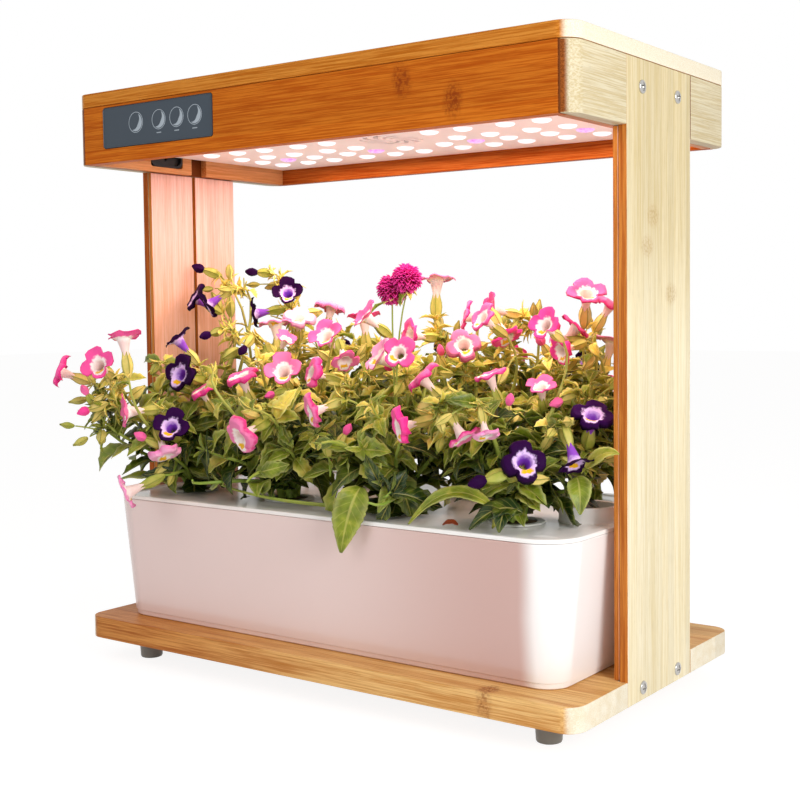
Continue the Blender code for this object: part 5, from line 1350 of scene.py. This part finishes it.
def grow(name, x, y, seed):
    """Grows one plant: its stems first, then leaves along them, calyces at their tips and the flowers."""
    random = np.random.default_rng(seed)
    own = HEAD_PODS == name
    kinds, mouths, facing, size, open_flower = (
        values[own] for values in (HEAD_KINDS, HEAD_PLACES, HEAD_FACING, HEAD_SIZES, HEAD_OPEN))
    collars = mouths - facing * (np.where(open_flower, 0.75, 0.2) * TUBE_LENGTH * size)[:, None]

    source = np.repeat(np.arange(len(kinds)), 3)
    side_facing = unit(facing[source] * 0.3 + random.normal(0, 0.75, (len(source), 3)) + (0, 0, 0.25))
    joint = collars[source] - facing[source] * TWIG_JOINT[0] - (0, 0, TWIG_JOINT[1])
    side_collars = kept_clear(joint + side_facing * random.uniform(*TWIG_LENGTHS, (len(source), 1)))
    side_size = random.uniform(0.6, 1.0, len(source))
    side_tips = side_collars - side_facing * CALYX_LENGTH * side_size[:, None]
    twigs = stem_grids(joint - (0, 0, TWIG_BEND), joint, side_tips - side_facing * TWIG_BEND, side_tips,
                       TWIG_RADII)[0]
    apart = ~before_flowers(twigs)
    source, side_facing, side_collars, side_size, joint, twigs = (
        values[apart] for values in (source, side_facing, side_collars, side_size, joint, twigs))
    fill_ends, fill_facing = fill_shoots(name, x, y, random)

    tips = np.concatenate((collars - facing * CALYX_LENGTH * size[:, None], fill_ends))
    towards = np.concatenate((facing, fill_facing))
    count = len(tips)
    start = np.column_stack((x + random.normal(0, STEM_SPREAD, count),
                             y + random.normal(0, STEM_SPREAD, count), np.full(count, STEM_START)))
    reach = np.linalg.norm(tips - start, axis=1, keepdims=True)
    sway = random.normal(0, STEM_SWAY, (count, 3)) * (1, 1, 0.3)
    rise = start + reach * STEM_RISE * unit((tips - start) * (0.55, 0.55, 0) + (0, 0, STEM_LIFT) + sway)
    lean = tips - towards * reach * STEM_LEAN - (0, 0, 0.1) * reach
    grids, path, ahead = stem_grids(start, rise, lean, tips, STEM_RADII)
    apart = ~before_flowers(grids)
    apart[:len(size)] = True
    grids, path, ahead, tips, towards = (values[apart] for values in (grids, path, ahead, tips, towards))
    fill_ends, fill_facing = fill_ends[apart[len(size):]], fill_facing[apart[len(size):]]
    grids = np.concatenate((grids, twigs))
    tone = np.clip((grids[..., 2] - STEM_TONES[0]) / (STEM_TONES[1] - STEM_TONES[0]), 0, 1)
    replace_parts(put_grids(f"stems_{name}", grids, stem_green, name, closed=True, tone=tone, rib=0.0),
                f"plant_{name}")

    broad = leaf_pairs(path, ahead, random)
    young = tufts(np.concatenate((tips, joint)), np.concatenate((towards, facing[source])), random)
    places, forward, top = (np.concatenate(pair) for pair in zip(broad, young))
    many = len(places)
    wide = np.arange(many) < len(broad[0])
    height = np.clip((places[:, 2] - LEAF_LEVELS[0]) / (LEAF_LEVELS[1] - LEAF_LEVELS[0]), 0, 1)
    length = LEAF_LENGTHS[0] + (LEAF_LENGTHS[1] - LEAF_LENGTHS[0]) * height ** 0.7
    length = length * random.uniform(0.7, 1.3, many)
    length = np.where(wide, length, random.uniform(*TUFT_LENGTHS, many))
    width = length * np.where(wide, random.uniform(0.34, 0.52, many), random.uniform(0.20, 0.32, many))
    leaves = leaf_grids(length, width, random.uniform(0.2, 1.3, many), random.uniform(0.25, 0.8, many),
                        random.uniform(0, 6, many))
    leaves = placed(leaves, axes_along(forward, top), places)
    ends = leaves[:, -1, 1]
    over = np.maximum(ends[:, 2] - lid_top, 0) * OVERHANG_SLOPES[name]
    held = (ends[:, 1] > tank_low.y + RIM_SETBACK - over) & (ends[:, 1] < tank_high.y - RIM_SETBACK + over)
    held &= random.uniform(0, 1, many) < LOW_SHARE + 2.0 * height
    held &= ~before_flowers(leaves)
    leaves, height = kept_clear(leaves[held]), height[held]
    # Painted shade and light: the tone rises with height, darker low in the crown and paler near the lamp;
    # young tufts are a little paler, with a random part on top.
    tone = height * 1.15 - 0.08 + np.where(wide[held], 0, 0.12) + random.normal(0, 0.26, len(height))
    put_grids(f"leaves_{name}", leaves, leaf_green, name, thickness=LEAF_THICKNESS,
              tone=np.clip(tone, 0, 1)[:, None, None], along=LEAF_PROFILE[:, :1], across=LEAF_ACROSS)

    tall = fill_ends[:, 2] > CALYX_LEVEL
    fill_collars = fill_ends[tall] + fill_facing[tall] * CALYX_LENGTH * FILL_SIZE
    all_collars = np.concatenate((collars, side_collars, fill_collars))
    all_facing = np.concatenate((facing, side_facing, fill_facing[tall]))
    all_size = np.concatenate((size, side_size, np.full(tall.sum(), FILL_SIZE)))
    bud = np.concatenate((~open_flower, np.ones(len(side_size) + tall.sum())))
    calyces = calyx_grids(CALYX_LENGTH * all_size * random.uniform(0.85, 1.15, len(all_size)),
                          CALYX_RADIUS * all_size, bud)
    calyces = placed(calyces, axes_along(all_facing, random.normal(0, 1, all_facing.shape)), all_collars)
    shown = ~before_flowers(calyces)
    shown[:len(size)] = True
    calyces = np.clip(calyces[shown], GROWTH_LOW, GROWTH_HIGH)
    tone = random.uniform(0.1, 1, len(calyces))[:, None, None]
    put_grids(f"calyces_{name}", calyces, calyx_green, name, closed=True, tone=tone,
              rib=np.cos(5 * round_steps(CALYX_SIDES)))

    upward = (0.0, 0.0, 1.0) + random.normal(0, 0.2, facing.shape)
    tones = random.uniform(0, 1, len(kinds))[:, None, None]
    lower = -np.sin(round_steps(PETAL_COLUMNS))
    for kind, surface in PETALS.items():
        chosen = kinds == kind
        if chosen.any():
            blooms = flower_grids(size[chosen], random.uniform(0.1, 1.0, chosen.sum()),
                                  random.uniform(0, 6, chosen.sum()))
            blooms = placed(blooms, axes_along(facing[chosen], upward[chosen]), mouths[chosen])
            put_grids(f"{kind}_flowers_{name}", blooms, surface, name, wrap=True, thickness=PETAL_THICKNESS,
                      along=FLOWER_ALONG[:, None], lower=lower, tone=tones[chosen])
        chosen = kinds == f"bud_{kind}"
        if chosen.any():
            buds = placed(bud_grids(BUD_LENGTH * size[chosen], BUD_RADIUS * size[chosen]),
                          axes_along(facing[chosen], upward[chosen]), collars[chosen])
            put_grids(f"{kind}_buds_{name}", buds, surface, name, closed=True, along=0.8, lower=-1.0,
                      tone=tones[chosen])


for row, y in POD_ROWS.items():
    for column, x in enumerate(POD_COLUMNS, 1):
        name = f"{row}_{column}"
        profile = [(PLUG_RADIUS * share, lid_surface + level) for share, level in PLUG_PROFILE]
        seat(turned(f"root_plug_{name}", profile, coir, (x, y)), f"pod_{name}", "plant")
        grow(name, x, y, 10 * column + (row == "rear"))


# Pompoms.
# Two ball-shaped heads of small papery bracts on thin stems that rise out of the third front plant, with a
# few pale bracts and two leaves right under them.
POMPOM_RADIUS = 0.0098
POMPOM_BRACTS = 190
POMPOM_PLACES = np.array(((0.0436, -0.060, 0.2605), (0.0550, -0.060, 0.2670)))
POMPOM_MEET = (0.0385, -0.054, 0.222)
POMPOM_DARKENING = (0.40, 0.0)
POMPOM_CORE = 0.62
BRACT_LENGTH = 0.52
BRACT_WIDTH = 0.36
GOLDEN_TURN = math.pi * (3 - math.sqrt(5))


def pompom(number, centre, random):
    """Bracts set round a ball on a spiral of equal steps, as seeds in a head, leaning up and outwards."""
    step = np.arange(POMPOM_BRACTS) + 0.5
    level = 1 - 2 * step / POMPOM_BRACTS
    ring = np.sqrt(1 - level ** 2)
    out = np.stack((ring * np.cos(step * GOLDEN_TURN), ring * np.sin(step * GOLDEN_TURN), level), -1)
    size = random.uniform(0.85, 1.15, POMPOM_BRACTS)
    bracts = leaf_grids(POMPOM_RADIUS * BRACT_LENGTH * size, POMPOM_RADIUS * BRACT_WIDTH * size,
                        np.full(POMPOM_BRACTS, 0.7), np.full(POMPOM_BRACTS, 0.6), size * 6)
    forward = unit(out + (0, 0, 0.45) + random.normal(0, 0.12, out.shape))
    bracts = placed(bracts, axes_along(forward, -out + (0.01, 0.02, 0.9)),
                    centre + out * POMPOM_RADIUS * BRACT_LENGTH)
    # The first head's bracts are darker all over, and each head's bracts grow paler towards its top.
    darkening = POMPOM_DARKENING[number - 1]
    tone = np.clip(0.55 - darkening + 0.6 * level + random.normal(0, 0.15, POMPOM_BRACTS), 0, 1)[:, None, None]
    put_grids(f"pompom_{number}_bracts", bracts, bract_magenta, "front_3", thickness=LEAF_THICKNESS,
              tone=tone, rib=LEAF_PROFILE[:, :1] * 0.8)
    radius = POMPOM_CORE * POMPOM_RADIUS
    core = [(max(radius * math.cos(t), LENS_TIP), centre[2] + radius * math.sin(t))
            for t in np.linspace(-math.pi / 2, math.pi / 2, 9)]
    seat(turned(f"pompom_{number}_core", core, bract_magenta, centre[:2], sides=16), "pod_front_3", "plant")


def pompom_pair():
    """Both heads, their stems, and five and three small leaves right under them."""
    random = np.random.default_rng(5)
    for number, centre in enumerate(POMPOM_PLACES, 1):
        pompom(number, centre, random)
    under = POMPOM_PLACES - (0, 0, POMPOM_RADIUS * 0.8)
    start = np.array(((0.036, -0.047, STEM_START), (0.038, -0.049, STEM_START)))
    meet = np.broadcast_to(POMPOM_MEET, (2, 3))
    grids = stem_grids(start, start * (1, 1, 0) + (0, 0, 0.18), meet, under, TWIG_RADII)[0]
    put_grids("pompom_stems", grids, stem_green, "front_3", closed=True, tone=0.3, rib=0.0)
    places = np.repeat(under, (5, 3), axis=0) + (0, 0, 0.001)
    azimuth = np.array((-150, -95, -60, 10, 100, -100, -30, 60))
    forward = directions(azimuth, np.array((-5, 10, 25, 5, 0, -35, -20, 0)))
    length = np.array((0.017, 0.009, 0.009, 0.008, 0.008, 0.012, 0.009, 0.008))
    blades = placed(leaf_grids(length, length * 0.42, np.full(8, 0.9), np.full(8, 0.4), azimuth),
                    axes_along(forward, np.broadcast_to((0.0, 0.0, 1.0), forward.shape)), places)
    put_grids("pompom_leaves", blades, leaf_green, "front_3", thickness=LEAF_THICKNESS,
              tone=np.array((0.45, 1, 1, 0.9, 1, 0.5, 0.9, 1))[:, None, None],
              along=LEAF_PROFILE[:, :1], across=LEAF_ACROSS)


pompom_pair()


# Broad leaves.
# The large toothed leaves at the front: one that hangs over the rim, a long one that arches over it, dark
# ones that lie on the lid, a light one by the post, one across the post's edge and a dried scrap.
BLADE_ROWS = 56
BLADE_COLUMNS = 9
BLADE_TEETH = 11
LYING_STEM = ((30, -52, 120), (8, -84, 124), (-40, -89, 123), (-86, -84, 131))
BROAD_LEAVES = (
    ("hanging", "front_3", (40, -90, 139), (43, -106, 130), (35, -103.5, 100), 21, (0.45, -0.85, 0.3), 0.38),
    ("arching", "front_4", (130, -80, 133), (106, -90, 153), (83, -98.5, 121), 11, (0.2, -0.5, 0.8), 0.46),
    ("dark_long", "front_4", (147, -74, 130), (137, -84, 139), (124, -95, 121), 15, (0.1, -0.6, 0.8), 0.02),
    ("dark_short", "front_4", (137, -72, 130), (141, -84, 137), (143, -93, 120.8), 14,
     (0.3, -0.6, 0.7), 0.05),
    ("light", "front_4", (172, -54, 150), (178, -60, 146), (179, -63, 130), 14, (0.5, -0.8, 0.2), 0.42),
    ("post_side", "front_4", (178, -54, 156), (191, -58, 169), (203, -61, 166), 8, (0.5, -0.8, 0.5), 0.60),
    ("low_left", "front_1", (-140, -80, 128), (-150, -92, 137), (-166, -104, 131), 13,
     (-0.2, -0.5, 0.8), 0.55),
    ("low_middle", "front_2", (-52, -76, 128), (-48, -90, 142), (-40, -97, 128), 14, (0.3, -0.7, 0.6), 0.35),
    ("low_right", "front_3", (62, -78, 130), (66, -90, 146), (60, -98, 126), 14, (0.3, -0.7, 0.6), 0.30),
)


def broad_leaf(name, pod, root, bend, tip, width, face, tone, surface):
    """The midrib is a quadratic Bezier curve from root to tip. The blade spreads square to it and faces the
    given way; half its width is a sine with saw teeth on it, and it folds and ripples a little."""
    root, bend, tip = (np.array(point) * MILLIMETRE for point in (root, bend, tip))
    t = np.linspace(0, 1, BLADE_ROWS)[:, None]
    s = np.linspace(-1, 1, BLADE_COLUMNS)
    midrib = (1 - t) ** 2 * root + 2 * t * (1 - t) * bend + t ** 2 * tip
    ahead = unit(np.gradient(midrib, axis=0))
    side = unit(np.cross(np.array(face), ahead))
    top = np.cross(ahead, side)
    half = width * MILLIMETRE / 2 * np.sin(math.pi * (0.03 + 0.95 * t) ** 0.8) ** 0.85
    saw = 1 + 0.10 * (0.5 - (t * BLADE_TEETH) % 1) * np.sin(math.pi * t)
    lift = half * (0.22 * np.abs(s) + 0.10 * s ** 2 * np.sin(15 * t + 2 * s))
    grid = midrib[:, None] + side[:, None] * (half * saw * s)[..., None] + top[:, None] * lift[..., None]
    put_grids(f"{name}_leaf", grid[None], surface, pod, thickness=LEAF_THICKNESS * 1.5, tone=tone,
              along=t, across=s)


for leaf in BROAD_LEAVES:
    broad_leaf(*leaf, leaf_green)
broad_leaf("dried", "front_4", (110, -86, 121.5), (107, -90, 125), (103.5, -92.5, 121.5), 4.5,
           (0, -0.5, 0.8), 0.8, dried_skin)
lying = np.array(LYING_STEM)[:, None] * MILLIMETRE
put_grids("lying_stem", stem_grids(*lying, STEM_RADII)[0], stem_green, "front_3", closed=True, tone=0.4,
          rib=0.0)
